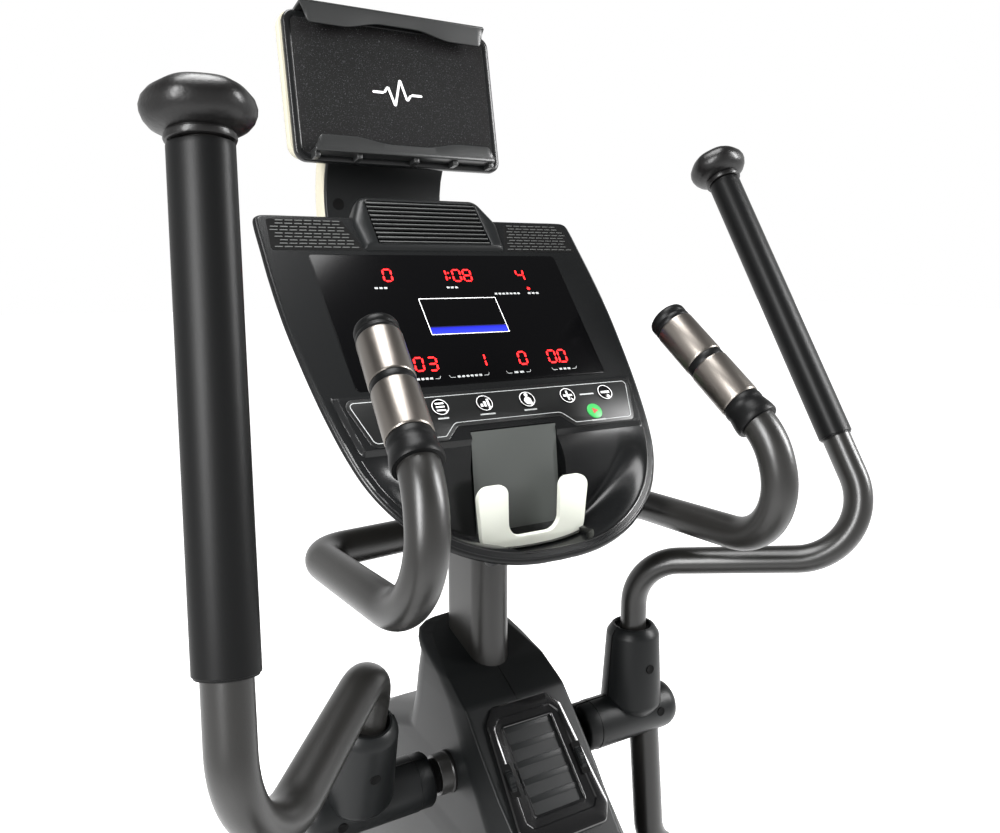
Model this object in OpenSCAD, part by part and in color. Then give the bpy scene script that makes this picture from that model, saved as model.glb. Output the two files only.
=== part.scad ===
// Front-drive elliptical trainer. X is the user's right, Y is forward, Z is up, in millimetres.
// The origin lies on the floor, midway between the rear cross tube and the front wheels.

/* [Base] */
// Half of the length over the floor, rear cross tube to front wheels
half_len = 830; // [780:5:900]
// Length of the rear cross tube
rear_tube_len = 560; // [480:10:640]
// Length of the front cross tube
front_tube_len = 500; // [420:10:560]
// Height of the cross tubes and of the centre beam
tube_h = 50; // [40:1:60]
// Width of the cross tubes along the machine
tube_w = 60; // [50:1:80]
// Width of the centre beam
beam_w = 80; // [60:1:100]
// Wall of the rectangular tubes
tube_wall = 2.5; // [2:0.5:4]
// Height of the rubber feet
foot_h = 22; // [15:1:35]
// Radius of the front transport wheels
wheel_r = 30; // [24:1:36]

/* [Mast] */
// Distance of the mast from the middle of the machine
mast_y = 330; // [300:5:350]
// Width of the oval mast tube across the machine
mast_w = 40; // [34:1:44]
// Depth of the oval mast tube along the machine
mast_d = 82; // [70:1:90]
// Height of the mast top
mast_top = 1300; // [1280:1:1304]

/* [Swing arms] */
// Height of the swing arm axle above the floor
pivot_h = 1000; // [970:5:1020]
// Distance of the swing arm axle from the middle of the machine
pivot_y = 274; // [268:1:280]
// Radius of the swing arm axle
axle_r = 10; // [8:0.5:12]
// Clearance on radius where a shaft turns in a bore
run_gap = 0.05; // [0.02:0.01:0.08]
// Length of the swing arm from axle to pedal arm
swing_len = 640; // [600:5:680]
// Side position of the handlebar stub
stub_x = 160; // [150:1:168]
// Side position of the lower arm where it leaves the axle
arm_x = 178; // [174:1:184]
// Side position of the lower arm at the pedal arm
arm_low_x = 252; // [240:1:270]
// Diameter of the handlebar tube
bar_d = 30; // [26:1:34]
// Diameter of the foam grip
foam_d = 38; // [36:1:44]
// Radius of the sleeve cover over the axle
sleeve_r = 26; // [24:1:28]

/* [Linkage] */
// Distance of the crank axle from the middle of the machine
crank_y = 560; // [540:5:580]
// Height of the crank axle
crank_h = 300; // [280:5:320]
// Crank radius
crank_len = 165; // [150:5:175]
// Angle of the left crank arm from upright at rest
crank_phase = 36; // [20:1:50]
// Length of the roller arm from crank to roller
roller_arm_len = 1150; // [1120:5:1180]
// Distance of the pedal arm pivot ahead of the roller
pivot_ahead = 150; // [130:5:180]
// Height of the pedal arm pivot over the roller arm
pivot_over = 95; // [90:1:110]
// Length of the pedal arm
pedal_arm_len = 755; // [740:5:770]
// Radius of the rollers
roller_r = 33; // [30:1:34]
// Room under the rollers at rest
roller_room = 16; // [15:0.5:18]
// Length of the foot pedals
pedal_len = 350; // [300:5:380]
// Width of the foot pedals
pedal_w = 165; // [140:5:170]

/* [Drive] */
// Radius of the drive pulley
pulley_r = 140; // [120:1:150]
// Radius of the flywheel's pulley
pinion_r = 20; // [18:1:25]
// Radius of the flywheel
flywheel_r = 125; // [110:1:130]
// Distance of the flywheel axle from the middle of the machine
flywheel_y = 645; // [630:5:650]
// Height of the flywheel axle
flywheel_h = 560; // [540:5:570]
// Half width of the drive cover
cover_half = 75; // [72:1:80]
// Wall of the plastic covers
shell = 3; // [2:0.5:4]

/* [Console] */
// Tilt of the console face from level
face_tilt = 48.7; // [44:0.1:54]
// Half width of the console
console_half = 184; // [170:1:200]
// Length of the display lens
lens_len = 160; // [140:1:170]
// Half width of the display lens
lens_half = 142; // [130:1:150]
// Radius of the push buttons
button_r = 8.5; // [7:0.5:10]
// Travel of the push buttons
button_travel = 1.2; // [0.8:0.1:2]
// Lean of the tablet holder from level
tablet_tilt = 78.9; // [70:0.1:85]
// Half width of the tablet holder
tablet_half = 122; // [100:1:130]
// Height of the tablet holder
tablet_len = 158; // [140:1:170]
// Diameter of the pulse grips
pulse_d = 37; // [35:1:40]

/* [Hidden] */
$fn = 48;
arc_step = 12;
base_z = foot_h;
base_top = base_z + tube_h;
crank_gap = 8;
crank_t = 16;
eye_gap = 0.5;
eye_w = 40;
roller_x = cover_half + crank_gap + crank_t + eye_gap + eye_w/2;
rail_floor = 4;
roller_h = base_top + rail_floor + roller_r + roller_room;
rail_in = 27;
pin_r = 8;
bolt_r = 6;
eye_r = 18;
cover_top = 1114;
face_y = 407;
face_z = 1491.5;
vent_y = 208;
vent_z = 1022;
vent_tilt = 45;
window_half = 26.5;
window_len = 81;
louver_count = 5;
sleeve_in = 88;
sleeve_out = 211;

// ---- outlines and paths ----

function unit(v) = v/norm(v);
function flat(p) = [p[0], p[1]];

// Points of the arc that rounds corner p = [u, v, radius] between its neighbours a and b
function corner_arc(p, a, b) =
    let (d1 = unit(flat(a) - flat(p)), d2 = unit(flat(b) - flat(p)), half = acos(d1*d2)/2)
    let (c = flat(p) + unit(d1 + d2)*p[2]/sin(half), reach = p[2]/tan(half))
    let (s = flat(p) + d1*reach - c, e = flat(p) + d2*reach - c, a0 = atan2(s[1], s[0]))
    let (raw = atan2(e[1], e[0]) - a0, turn = raw > 180 ? raw - 360 : raw < -180 ? raw + 360 : raw)
    let (n = max(1, ceil(abs(turn)/arc_step)))
    [for (i = [0:n]) c + p[2]*[cos(a0 + turn*i/n), sin(a0 + turn*i/n)]];

// Outline whose corners [u, v, radius] are rounded
function rounded(c) = [for (i = [0:len(c) - 1])
    let (a = c[(i + len(c) - 1) % len(c)], b = c[(i + 1) % len(c)])
    each c[i][2] > 0 ? corner_arc(c[i], a, b) : [flat(c[i])]];

// The same outline, anticlockwise, with every edge moved inwards by t
function inset(c, t) = [for (i = [0:len(c) - 1])
    let (p = flat(c[i]), a = flat(c[(i + len(c) - 1) % len(c)]), b = flat(c[(i + 1) % len(c)]))
    let (e1 = unit(p - a), e2 = unit(b - p), n1 = [-e1[1], e1[0]], n2 = [-e2[1], e2[0]])
    let (q = p + (n1 + n2)*t/(1 + n1*n2), convex = e1[0]*e2[1] - e1[1]*e2[0] > 0)
    [q[0], q[1], max(0, c[i][2] + (convex ? -t : t))]];

// Both halves of an outline given by its right half, bottom to top
function both_sides(half) = concat(half,
    [for (i = [len(half) - 1:-1:0]) [-half[i][0], half[i][1], half[i][2]]]);

module aim(d) {
    rotate([0, acos(d[2]/norm(d)), atan2(d[1], d[0])]) children();
}

module ring(r_out, r_in) {
    difference() {
        circle(r_out);
        if (r_in > 0) circle(r_in);
    }
}

module straight(a, b, r_out, r_in) {
    translate(a) aim(b - a) linear_extrude(norm(b - a)) ring(r_out, r_in);
}

// Points along the arc that rounds corner p between a and b
function arc3(a, p, b, r) =
    let (d1 = unit(a - p), d2 = unit(b - p), half = acos(d1*d2)/2)
    let (c = p + unit(d1 + d2)*r/sin(half), turn = 180 - 2*half)
    let (u = unit(p + d1*r/tan(half) - c), v = -d1, n = max(2, ceil(turn/arc_step)))
    [for (i = [0:n]) c + r*(cos(turn*i/n)*u + sin(turn*i/n)*v)];
function smooth(p, r) = [p[0], each [for (i = [1:len(p) - 2]) each arc3(p[i - 1], p[i], p[i + 1], r)],
    p[len(p) - 1]];
function tangent(q, i) = unit(q[min(i + 1, len(q) - 1)] - q[max(i - 1, 0)]);
function across(n, t) = unit(n - (n*t)*t);
function ring_at(c, n, t, r) =
    [for (k = [0:sides - 1]) let (a = 360*k/sides) c + r*(cos(a)*n + sin(a)*cross(t, n))];

sides = 24;
// Tube through the points p, with every inner point rounded to radius r_bend
module tube_path(p, r_bend, r_out, r_in) {
    q = smooth(p, r_bend);
    m = len(q) - 1;
    normals = [for (i = 0, n = across([0.31, 0.62, -0.72], tangent(q, 0)); i <= m;
        i = i + 1, n = across(n, tangent(q, min(i, m)))) n];
    outer = [for (i = [0:m]) each ring_at(q[i], normals[i], tangent(q, i), r_out)];
    inner = [for (i = [0:m]) each ring_at(q[i], normals[i], tangent(q, i), r_in)];
    w = (m + 1)*sides;
    step = function (k) (k + 1) % sides;
    polyhedron(points = concat(outer, inner), convexity = 6, faces = [
        for (i = [0:m - 1]) for (k = [0:sides - 1]) let (a = i*sides, b = a + sides, e = step(k))
            each [[a + k, b + e, a + e], [a + k, b + k, b + e],
                [w + a + k, w + a + e, w + b + e], [w + a + k, w + b + e, w + b + k]],
        for (k = [0:sides - 1]) let (e = step(k), z = m*sides)
            each [[k, e, w + e], [k, w + e, w + k],
                [z + k, w + z + e, z + e], [z + k, w + z + k, w + z + e]]]);
}

// Bar along X between x0 and x1 at y, z
module x_rod(x0, x1, y, z, r) {
    translate([x0, y, z]) rotate([0, 90, 0]) cylinder(h = x1 - x0, r = r);
}

module x_tube(x0, x1, y, z, r_out, r_in) {
    translate([x0, y, z]) rotate([0, 90, 0]) linear_extrude(x1 - x0) ring(r_out, r_in);
}

// Outline in the Y-Z plane, extruded along X from x0 to x1
module side_slab(outline, x0, x1) {
    translate([x0, 0, 0]) rotate([90, 0, 90]) linear_extrude(x1 - x0) polygon(outline);
}

module box_tube(size, wall, axis) {
    cut = [for (i = [0:2]) i == axis ? size[i] + 2 : size[i] - 2*wall];
    difference() {
        cube(size, center = true);
        cube(cut, center = true);
    }
}

module stadium(w, d) {
    translate([0, (d - w)/2]) circle(w/2);
    translate([0, -(d - w)/2]) circle(w/2);
    square([w, d - w], center = true);
}

module on_side(side) {
    if (side < 0) mirror([1, 0, 0]) children();
    else children();
}

// ---- linkage: side is -1 on the left and 1 on the right ----

function crank_pin(side) = [crank_y, crank_h] - side*crank_len*[sin(crank_phase), cos(crank_phase)];
function roller_at(side) =
    let (e = crank_pin(side)) [e[0] - sqrt(roller_arm_len^2 - (e[1] - roller_h)^2), roller_h];
function rear_pivot(side) =
    let (w = roller_at(side), u = (crank_pin(side) - w)/roller_arm_len)
    w + pivot_ahead*u + pivot_over*[-u[1], u[0]];
function front_pivot(side) =
    let (r = rear_pivot(side), d = [pivot_y, pivot_h] - r, gap = norm(d))
    let (along = (pedal_arm_len^2 - swing_len^2 + gap^2)/(2*gap))
    let (off = sqrt(pedal_arm_len^2 - along^2))
    r + along*d/gap + off*[d[1], -d[0]]/gap;
function tilt_of(from, to) = atan2(to[1] - from[1], to[0] - from[0]);
function swing_angle(side) =
    let (f = front_pivot(side)) atan2(f[0] - pivot_y, pivot_h - f[1]);

module swing_frame(side) {
    translate([0, pivot_y, pivot_h]) rotate([swing_angle(side), 0, 0]) on_side(side) children();
}

module pedal_frame(side) {
    r = rear_pivot(side);
    translate([0, r[0], r[1]]) rotate([tilt_of(r, front_pivot(side)), 0, 0]) on_side(side) children();
}

module roller_frame(side) {
    w = roller_at(side);
    translate([0, w[0], w[1]]) rotate([tilt_of(w, crank_pin(side)), 0, 0]) on_side(side) children();
}

// ---- base ----

rear_y = -half_len + tube_w/2;
front_y = half_len - 2*wheel_r - tube_w/2;
rail_front = -330;
post_w = 40;
post_d = 60;

module base_frame() color("dimgray") {
    mid_z = base_z + tube_h/2;
    translate([0, rear_y, mid_z]) box_tube([rear_tube_len, tube_w, tube_h], tube_wall, 0);
    translate([0, front_y, mid_z]) box_tube([front_tube_len, tube_w, tube_h], tube_wall, 0);
    beam_len = front_y - rear_y - tube_w;
    translate([0, (front_y + rear_y)/2, mid_z]) box_tube([beam_w, beam_len, tube_h], tube_wall, 1);
    for (s = [-1, 1]) {
        arm = roller_x + rail_in + 3 - beam_w/2;
        translate([s*(beam_w/2 + arm/2), rail_front - tube_w/2, mid_z])
            box_tube([arm, tube_w, tube_h], tube_wall, 0);
    }
    difference() {
        union() {
            translate([-post_w/2, crank_y - post_d/2, base_top]) cube([post_w, post_d, crank_h - base_top]);
            x_rod(-45, 45, crank_y, crank_h, 26);
            run = [flywheel_y - crank_y, flywheel_h - crank_h];
            translate([0, crank_y, crank_h]) rotate([atan2(run[1], run[0]), 0, 0])
                translate([-12, 0, -18]) cube([24, norm(run), 36]);
            x_rod(-24, 24, flywheel_y, flywheel_h, 20);
        }
        x_rod(-50, 50, crank_y, crank_h, 12.5 + run_gap);
        x_rod(-30, 30, flywheel_y, flywheel_h, 8 + run_gap);
    }
    translate([0, mast_y, base_top]) linear_extrude(110) difference() {
        stadium(mast_w + 8.4, mast_d + 8.4);
        stadium(mast_w + 0.4, mast_d + 0.4);
    }
    for (s = [-1, 1]) translate([s*150, 0, 0]) wheel_bracket();
}

module roller_rails() color("silver") {
    rail_rear = -half_len + 2;
    depth = 30 + rail_floor;
    for (s = [-1, 1]) translate([s*roller_x, 0, base_top]) difference() {
        translate([-rail_in - 3, rail_rear, 0]) cube([2*rail_in + 6, rail_front - rail_rear, depth]);
        translate([-rail_in, rail_rear + 4, rail_floor]) cube([2*rail_in, rail_front - rail_rear - 8, depth]);
    }
}

foot_inset = 45;
module leveling_feet() color([0.1, 0.1, 0.1]) {
    for (s = [-1, 1]) {
        translate([s*(rear_tube_len/2 - foot_inset), rear_y, 0]) foot();
        translate([s*(front_tube_len/2 - foot_inset), front_y, 0]) foot();
    }
}

module foot() {
    cylinder(h = 8, r = 24);
    translate([0, 0, 8]) cylinder(h = 6, r = 19);
    translate([0, 0, 14]) cylinder(h = base_z - 14, r = 12);
}

module transport_wheels() color([0.12, 0.12, 0.12]) {
    for (s = [-1, 1]) difference() {
        x_rod(s*150 - 14, s*150 + 14, half_len - wheel_r, base_z + tube_h/2, wheel_r);
        x_rod(s*150 - 20, s*150 + 20, half_len - wheel_r, base_z + tube_h/2, 5 + run_gap);
    }
}

module mast() color("dimgray") {
    difference() {
        union() {
            translate([0, mast_y, base_top]) linear_extrude(mast_top - base_top) stadium(mast_w, mast_d);
            x_rod(-80, 80, pivot_y, pivot_h, 19);
        }
        translate([0, mast_y, base_top - 1]) linear_extrude(mast_top - base_top + 2)
            stadium(mast_w - 5, mast_d - 5);
        x_rod(-90, 90, pivot_y, pivot_h, axle_r + 0.02);
    }
}

module wheel_bracket() {
    z = base_z + tube_h/2;
    y0 = front_y + tube_w/2;
    x_rod(-22, 22, half_len - wheel_r, z, 5);
    for (s = [-1, 1]) translate([s*20 - 3, y0, z - 12]) cube([6, half_len - wheel_r + 12 - y0, 24]);
}

module pivot_axle() color("silver") {
    x_rod(-sleeve_out + 6, sleeve_out - 6, pivot_y, pivot_h, axle_r);
}

// ---- drive covers ----

cover_rear = 118;
cover_front = 792;
function cover_outline() = [
    [cover_rear + 40, base_top + 2, 20], [cover_front - 60, base_top + 2, 40], [cover_front, 330, 160],
    [cover_front, 640, 120], [560, 900, 160], [mast_y + 62, 1010, 60], [mast_y + mast_d/2 + 8, cover_top, 5],
    [mast_y - mast_d/2 + 1, 1087, 8], [256, 1070, 5], [cover_rear, 932, 40],
    [cover_rear + 8, 760, 60]];
function cover_front_view() = [
    [0, 0, 0], [cover_half, 0, 0], [cover_half, 760, 60], [cover_half - 11, 985, 40],
    [57, 1076, 20], [43, cover_top, 6], [0, cover_top, 0]];

module cover_body(t) {
    far = cover_half + 10;
    intersection() {
        side_slab(rounded(inset(cover_outline(), t)), 0, far);
        translate([0, 1000, 0]) rotate([90, 0, 0]) linear_extrude(1000)
            polygon(rounded([for (p = cover_front_view()) [p[0] > 0 ? p[0] - t : -1, p[1], max(0, p[2] - t)]]));
    }
}

module cover_half_shell(side) color([0.16, 0.16, 0.17]) on_side(side) difference() {
    cover_body(0);
    cover_body(shell);
    translate([-1, cover_rear + 60, base_top - 10]) cube([cover_half - shell, 540, 30]);
    translate([0, mast_y, 1000]) linear_extrude(200) stadium(mast_w + 2, mast_d + 2);
    x_rod(30, 100, pivot_y, pivot_h, 20.5);
    x_rod(30, 100, crank_y, crank_h, 20);
    vent_frame() translate([-32, -50, -30]) cube([64, 100, 60]);
    vent_frame() translate([-44, -24, -30]) cube([88, 36, 60]);
}

module cover_left() cover_half_shell(-1);
module cover_right() cover_half_shell(1);

module vent_frame() {
    translate([0, vent_y, vent_z]) rotate([vent_tilt, 0, 0]) children();
}

wheel_x = 39;
module vent_bezel() color([0.05, 0.05, 0.05]) vent_frame() difference() {
    union() {
        translate([0, 0, 0.1]) linear_extrude(5) polygon(rounded(bezel_outline()));
        translate([-31, -49, -14]) cube([62, 98, 15]);
    }
    translate([-window_half, -window_len/2, -20]) cube([2*window_half, window_len, 40]);
    for (i = [0:louver_count - 1]) x_rod(-29, 29, louver_at(i), -3, 1.55);
    for (s = [-1, 1]) translate([s*wheel_x - 3.5, -22, -20]) cube([7, 32, 40]);
}
function bezel_outline() = both_sides([[40, -62, 6], [47, -50, 4], [41, 50, 4], [30, 62, 6]]);
function louver_at(i) = (i - (louver_count - 1)/2)*window_len/louver_count;

module louver(i) color([0.1, 0.1, 0.1]) vent_frame() {
    x_rod(-28, 28, louver_at(i), -3, 1.5);
    translate([-window_half + 0.4, louver_at(i), -3]) rotate([30, 0, 0])
        translate([0, -6.5, -1.2]) cube([2*window_half - 0.8, 13, 2.4]);
}
module louver_1() louver(0);
module louver_2() louver(1);
module louver_3() louver(2);
module louver_4() louver(3);
module louver_5() louver(4);

module thumbwheel(side) color([0.15, 0.15, 0.15]) vent_frame()
    x_rod(side*wheel_x - 2.5, side*wheel_x + 2.5, -6, -5, 12);
module thumbwheel_left() thumbwheel(-1);
module thumbwheel_right() thumbwheel(1);

module fan_housing() color([0.2, 0.2, 0.2]) vent_frame() {
    difference() {
        translate([-31, -36, -40]) cube([62, 72, 24]);
        translate([0, 0, -50]) cylinder(h = 50, r = 29);
    }
    translate([0, 0, -40]) cylinder(h = 10, r = 13);
    for (a = [0, 120, 240]) rotate(a) translate([0, -2, -40]) cube([30, 4, 4]);
}

module fan_impeller() color([0.3, 0.3, 0.3]) vent_frame() {
    translate([0, 0, -29]) cylinder(h = 10, r = 12);
    for (i = [0:6]) rotate(i*360/7) translate([11, 0, -24]) rotate([35, 0, 0])
        translate([0, -5, -0.8]) cube([16, 10, 1.6]);
}

// ---- console ----

module face_frame() {
    translate([0, face_y, face_z]) rotate([face_tilt, 0, 0]) children();
}
face_depth = 26;
back_depth = 60;
function console_outline() = both_sides([
    [48, -346, 26], [118, -302, 40], [160, -246, 50], [console_half, -130, 130], [console_half, 52, 16]]);

module console_face() color([0.12, 0.12, 0.13]) {
    difference() {
        face_frame() face_plate();
        translate([-61, holder_y - 4, holder_z - 1]) cube([122, 8, 63]);
    }
    translate([-49.5, holder_y + 21, holder_z + 6.5]) rotate([-7.7, 0, 0]) cube([99, 3, 99]);
}

module face_plate() difference() {
    translate([0, 0, -face_depth]) linear_extrude(face_depth + 6) polygon(rounded(console_outline()));
    translate([0, 0, -face_depth - 1]) linear_extrude(face_depth - 3)
        polygon(rounded(inset(console_outline(), shell)));
    translate([0, 0, -2]) linear_extrude(20) polygon(rounded(lens_outline(0)));
    translate([0, 0, -2]) linear_extrude(20) polygon(rounded(keypad_outline()));
    for (b = BUTTONS) translate([b[0], b[1], -10]) cylinder(h = 30, r = button_r + 0.5);
    translate([-49, -322, -30]) cube([98, 108, 50]);
}

function lens_outline(t) = both_sides([[lens_half - 5 - t, -lens_len + t, 4], [lens_half - t, -t, 4]]);
function keypad_outline() = both_sides([[56, -214, 4], [70, -226, 6], [lens_half - 4, -226, 8],
    [lens_half + 8, -lens_len - 6, 6]]);

module console_back() color([0.14, 0.14, 0.15]) face_frame() difference() {
    z0 = -face_depth - back_depth;
    translate([0, 0, z0]) linear_extrude(back_depth) polygon(rounded(inset(console_outline(), 5)));
    translate([0, 0, z0 + shell]) linear_extrude(back_depth) polygon(rounded(inset(console_outline(), 5 + shell)));
    translate([-80, -380, -50]) cube([160, 100, 60]);
    rotate([-face_tilt, 0, 0]) translate([0, mast_y - face_y, -500]) linear_extrude(500)
        stadium(mast_w + 2, mast_d + 2);
}

module display_lens() color([0.02, 0.02, 0.03]) face_frame()
    translate([0, 0, -1.9]) linear_extrude(4) polygon(rounded(lens_outline(0.2)));

module keypad_panel() color([0.08, 0.08, 0.09]) face_frame() difference() {
    translate([0, 0, -1.9]) linear_extrude(2.4) polygon(rounded(inset(keypad_outline(), 0.2)));
    for (b = BUTTONS) translate([b[0], b[1], -10]) cylinder(h = 30, r = button_r + 0.4);
}

button_row = -187;
BUTTONS = [[-67, button_row], [-21, button_row], [26, button_row], [73, button_row], [119, button_row],
    [97, button_row - 20]];
module button(i) color([0.06, 0.06, 0.06]) face_frame()
    translate([BUTTONS[i][0], BUTTONS[i][1], -6]) cylinder(h = 9, r = button_r);
module button_mode() button(0);
module button_program() button(1);
module button_body_fat() button(2);
module button_plus() button(3);
module button_minus() button(4);
module button_start() button(5);

module control_board() color("darkgreen") face_frame()
    translate([-130, -215, -12]) cube([260, 205, 1.6]);

holder_y = 226;
holder_z = 1230;
module phone_holder() color([0.92, 0.92, 0.9]) {
    for (s = [-1, 1]) translate([s*44 - 16, holder_y - 3, holder_z]) cube([32, 6, 61]);
    translate([-56, holder_y - 3, holder_z]) cube([112, 6, 14]);
    translate([-40, holder_y + 2.9, holder_z + 2]) cube([80, 24, 4]);
}

// ---- tablet holder ----

tablet_y = 487.5;
tablet_z = 1589;
hinge_t = 22;
hinge_n = -30;
module tablet_frame() {
    translate([0, tablet_y, tablet_z]) rotate([tablet_tilt, 0, 0]) children();
}

module tablet_neck() color([0.15, 0.15, 0.15]) {
    tablet_frame() {
        for (s = [-1, 1]) x_tube(s*20 - 5, s*20 + 5, hinge_t, hinge_n, 9, 4 + run_gap);
        for (s = [-1, 1]) translate([s*20 - 5, -10, hinge_n - 8]) cube([10, 26, 6.5]);
        translate([-66, -94, hinge_n - 9]) cube([132, 98, 9]);
    }
    face_frame() translate([-64, 53, -75]) cube([128, 14, 77]);
}

module tablet_shell() color([0.13, 0.13, 0.13]) tablet_frame() {
    difference() {
        translate([0, 0, -16]) linear_extrude(16) polygon(rounded(tablet_outline()));
        translate([0, 0, -6]) linear_extrude(20) polygon(rounded(inset(tablet_outline(), 8)));
    }
    translate([-tablet_half + 6, -6, -6]) cube([2*tablet_half - 12, 6, 26]);
    translate([-tablet_half + 6, -6, 20]) cube([2*tablet_half - 12, 14, 4]);
    translate([-14, hinge_t - 9, -30]) cube([28, 18, 14]);
    x_rod(-25, 25, hinge_t, hinge_n, 4);
}
function tablet_outline() = both_sides([[tablet_half, 0, 12], [tablet_half, tablet_len, 12]]);

module tablet_pad() color([0.2, 0.2, 0.2]) tablet_frame()
    translate([0, 0, -5.8]) linear_extrude(5) polygon(rounded(inset(tablet_outline(), 9)));

clamp_travel = 30;
module tablet_clamp() color([0.13, 0.13, 0.13]) tablet_frame() {
    translate([-40, tablet_len + 0.6, -14]) cube([80, 5, 34]);
    translate([-40, tablet_len - 6, 16]) cube([80, 8, 4]);
}

// ---- fixed handlebar ----

bar_r = 15.9;
function fixed_points(s) = [
    [0, 345, 1222], [s*179, 310, 1228], [s*176, 78.4, 1236.5], [s*167.6, 103.4, 1333.6],
    [s*150, 225, 1433]];

module fixed_handlebar() color("dimgray") difference() {
    union() {
        for (s = [-1, 1]) tube_path(fixed_points(s), 56, bar_r, bar_r - 2);
    }
    translate([0, mast_y, 1100]) linear_extrude(200) stadium(mast_w + 0.1, mast_d + 0.1);
}

function grip_axis(s) = unit(fixed_points(s)[4] - fixed_points(s)[3]);
module grip_part(s, from, to, r_out, r_in) {
    p = fixed_points(s)[4];
    straight(p - grip_axis(s)*to, p - grip_axis(s)*from, r_out, r_in);
}

module pulse_grips() color([0.1, 0.1, 0.1]) for (s = [-1, 1]) {
    grip_part(s, -6, 140, pulse_d/2 - 1, bar_r + 0.05);
    grip_part(s, -10, -6.2, pulse_d/2, 0);
}

module pulse_plates() color([0.6, 0.58, 0.56]) for (s = [-1, 1]) {
    grip_part(s, 12, 60, pulse_d/2, pulse_d/2 - 0.95);
    grip_part(s, 66, 114, pulse_d/2, pulse_d/2 - 0.95);
}

// ---- swing arms ----

lean = 7;
function bar_points() = [
    [stub_x, -22*sin(lean), 22*cos(lean)], [stub_x, -171*tan(lean), 171], [322, -209, 180], [314, -149, 295],
    [299.6, -32, 572]];
bar_bend = 55;

module handlebar(side) color("dimgray") swing_frame(side)
    tube_path([bar_points()[0], bar_points()[1], bar_points()[2], bar_points()[4]], bar_bend, bar_d/2, bar_d/2 - 2);
module handlebar_left() handlebar(-1);
module handlebar_right() handlebar(1);

foam_len = 302;
module foam_grip(side) color([0.08, 0.08, 0.08]) swing_frame(side) {
    top = bar_points()[4];
    d = unit(top - bar_points()[2]);
    straight(top - d*foam_len, top - d, foam_d/2, bar_d/2 + 0.05);
}
module foam_grip_left() foam_grip(-1);
module foam_grip_right() foam_grip(1);

module end_knob(side) color([0.1, 0.1, 0.1]) swing_frame(side) {
    top = bar_points()[4];
    d = unit(top - bar_points()[2]);
    translate(top) aim(d) {
        translate([0, 0, 0.2]) cylinder(h = 8, r = foam_d/2 + 3);
        translate([0, 0, 8]) cylinder(h = 14, r1 = 21, r2 = 29);
        translate([0, 0, 22]) cylinder(h = 16, r1 = 29, r2 = 16);
        translate([0, 0, -30]) cylinder(h = 30.5, r = bar_d/2 - 2.3);
    }
}
module end_knob_left() end_knob(-1);
module end_knob_right() end_knob(1);

module cone_axis() {
    translate([stub_x, 0, 0]) rotate([lean, 0, 0]) children();
}

stub_r = bar_d/2 - 2.3;
module joint_cover(side) color([0.15, 0.15, 0.15]) swing_frame(side) for (half = [-1, 1]) difference() {
    union() {
        translate([sleeve_in, 0, 0]) rotate([0, 90, 0]) cylinder(h = sleeve_out - sleeve_in, r = sleeve_r);
        cone_axis() cylinder(h = 98, r1 = 33, r2 = 28);
        cone_axis() translate([0, 0, 98]) cylinder(h = 6, r1 = 28, r2 = 22);
    }
    translate([sleeve_in - 1, 0, 0]) rotate([0, 90, 0]) cylinder(h = sleeve_out - sleeve_in - 3, r = sleeve_r - 3);
    cone_axis() cylinder(h = 94, r1 = 29, r2 = 25);
    cone_axis() cylinder(h = 120, r = bar_d/2 + 0.6);
    translate([arm_x, 0, -60]) cylinder(h = 60, r = 17);
    translate([0, half > 0 ? -100 : 0, -100]) cube([300, 100, 300]);
}
module joint_cover_left() joint_cover(-1);
module joint_cover_right() joint_cover(1);

module swing_arm(side) color("dimgray") swing_frame(side) difference() {
    union() {
        x_rod(sleeve_in + 4, sleeve_out - 5, 0, 0, 19);
        cone_axis() cylinder(h = 92, r = stub_r);
        tube_path([[arm_x, 0, -12], [arm_x, 0, -148], [arm_low_x, 0, -222],
            [arm_low_x, 0, -swing_len + 12]], 45, 16, 13.5);
        x_rod(arm_low_x - eye_w/2, arm_low_x + eye_w/2, 0, -swing_len, eye_r);
    }
    x_rod(sleeve_in - 4, sleeve_out + 4, 0, 0, axle_r + run_gap);
    x_rod(arm_low_x - eye_w, arm_low_x + eye_w, 0, -swing_len, bolt_r + run_gap);
    translate([arm_low_x, 0, -swing_len + eye_r + 16]) rotate([90, 0, 0]) cylinder(h = 20, r = 3);
}
module swing_arm_left() swing_arm(-1);
module swing_arm_right() swing_arm(1);

// ---- pedal arms, roller arms and rollers ----

ear_t = 6;
tube_r = 22;
arm_wall = 2.5;
arm_half = 18;
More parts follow.
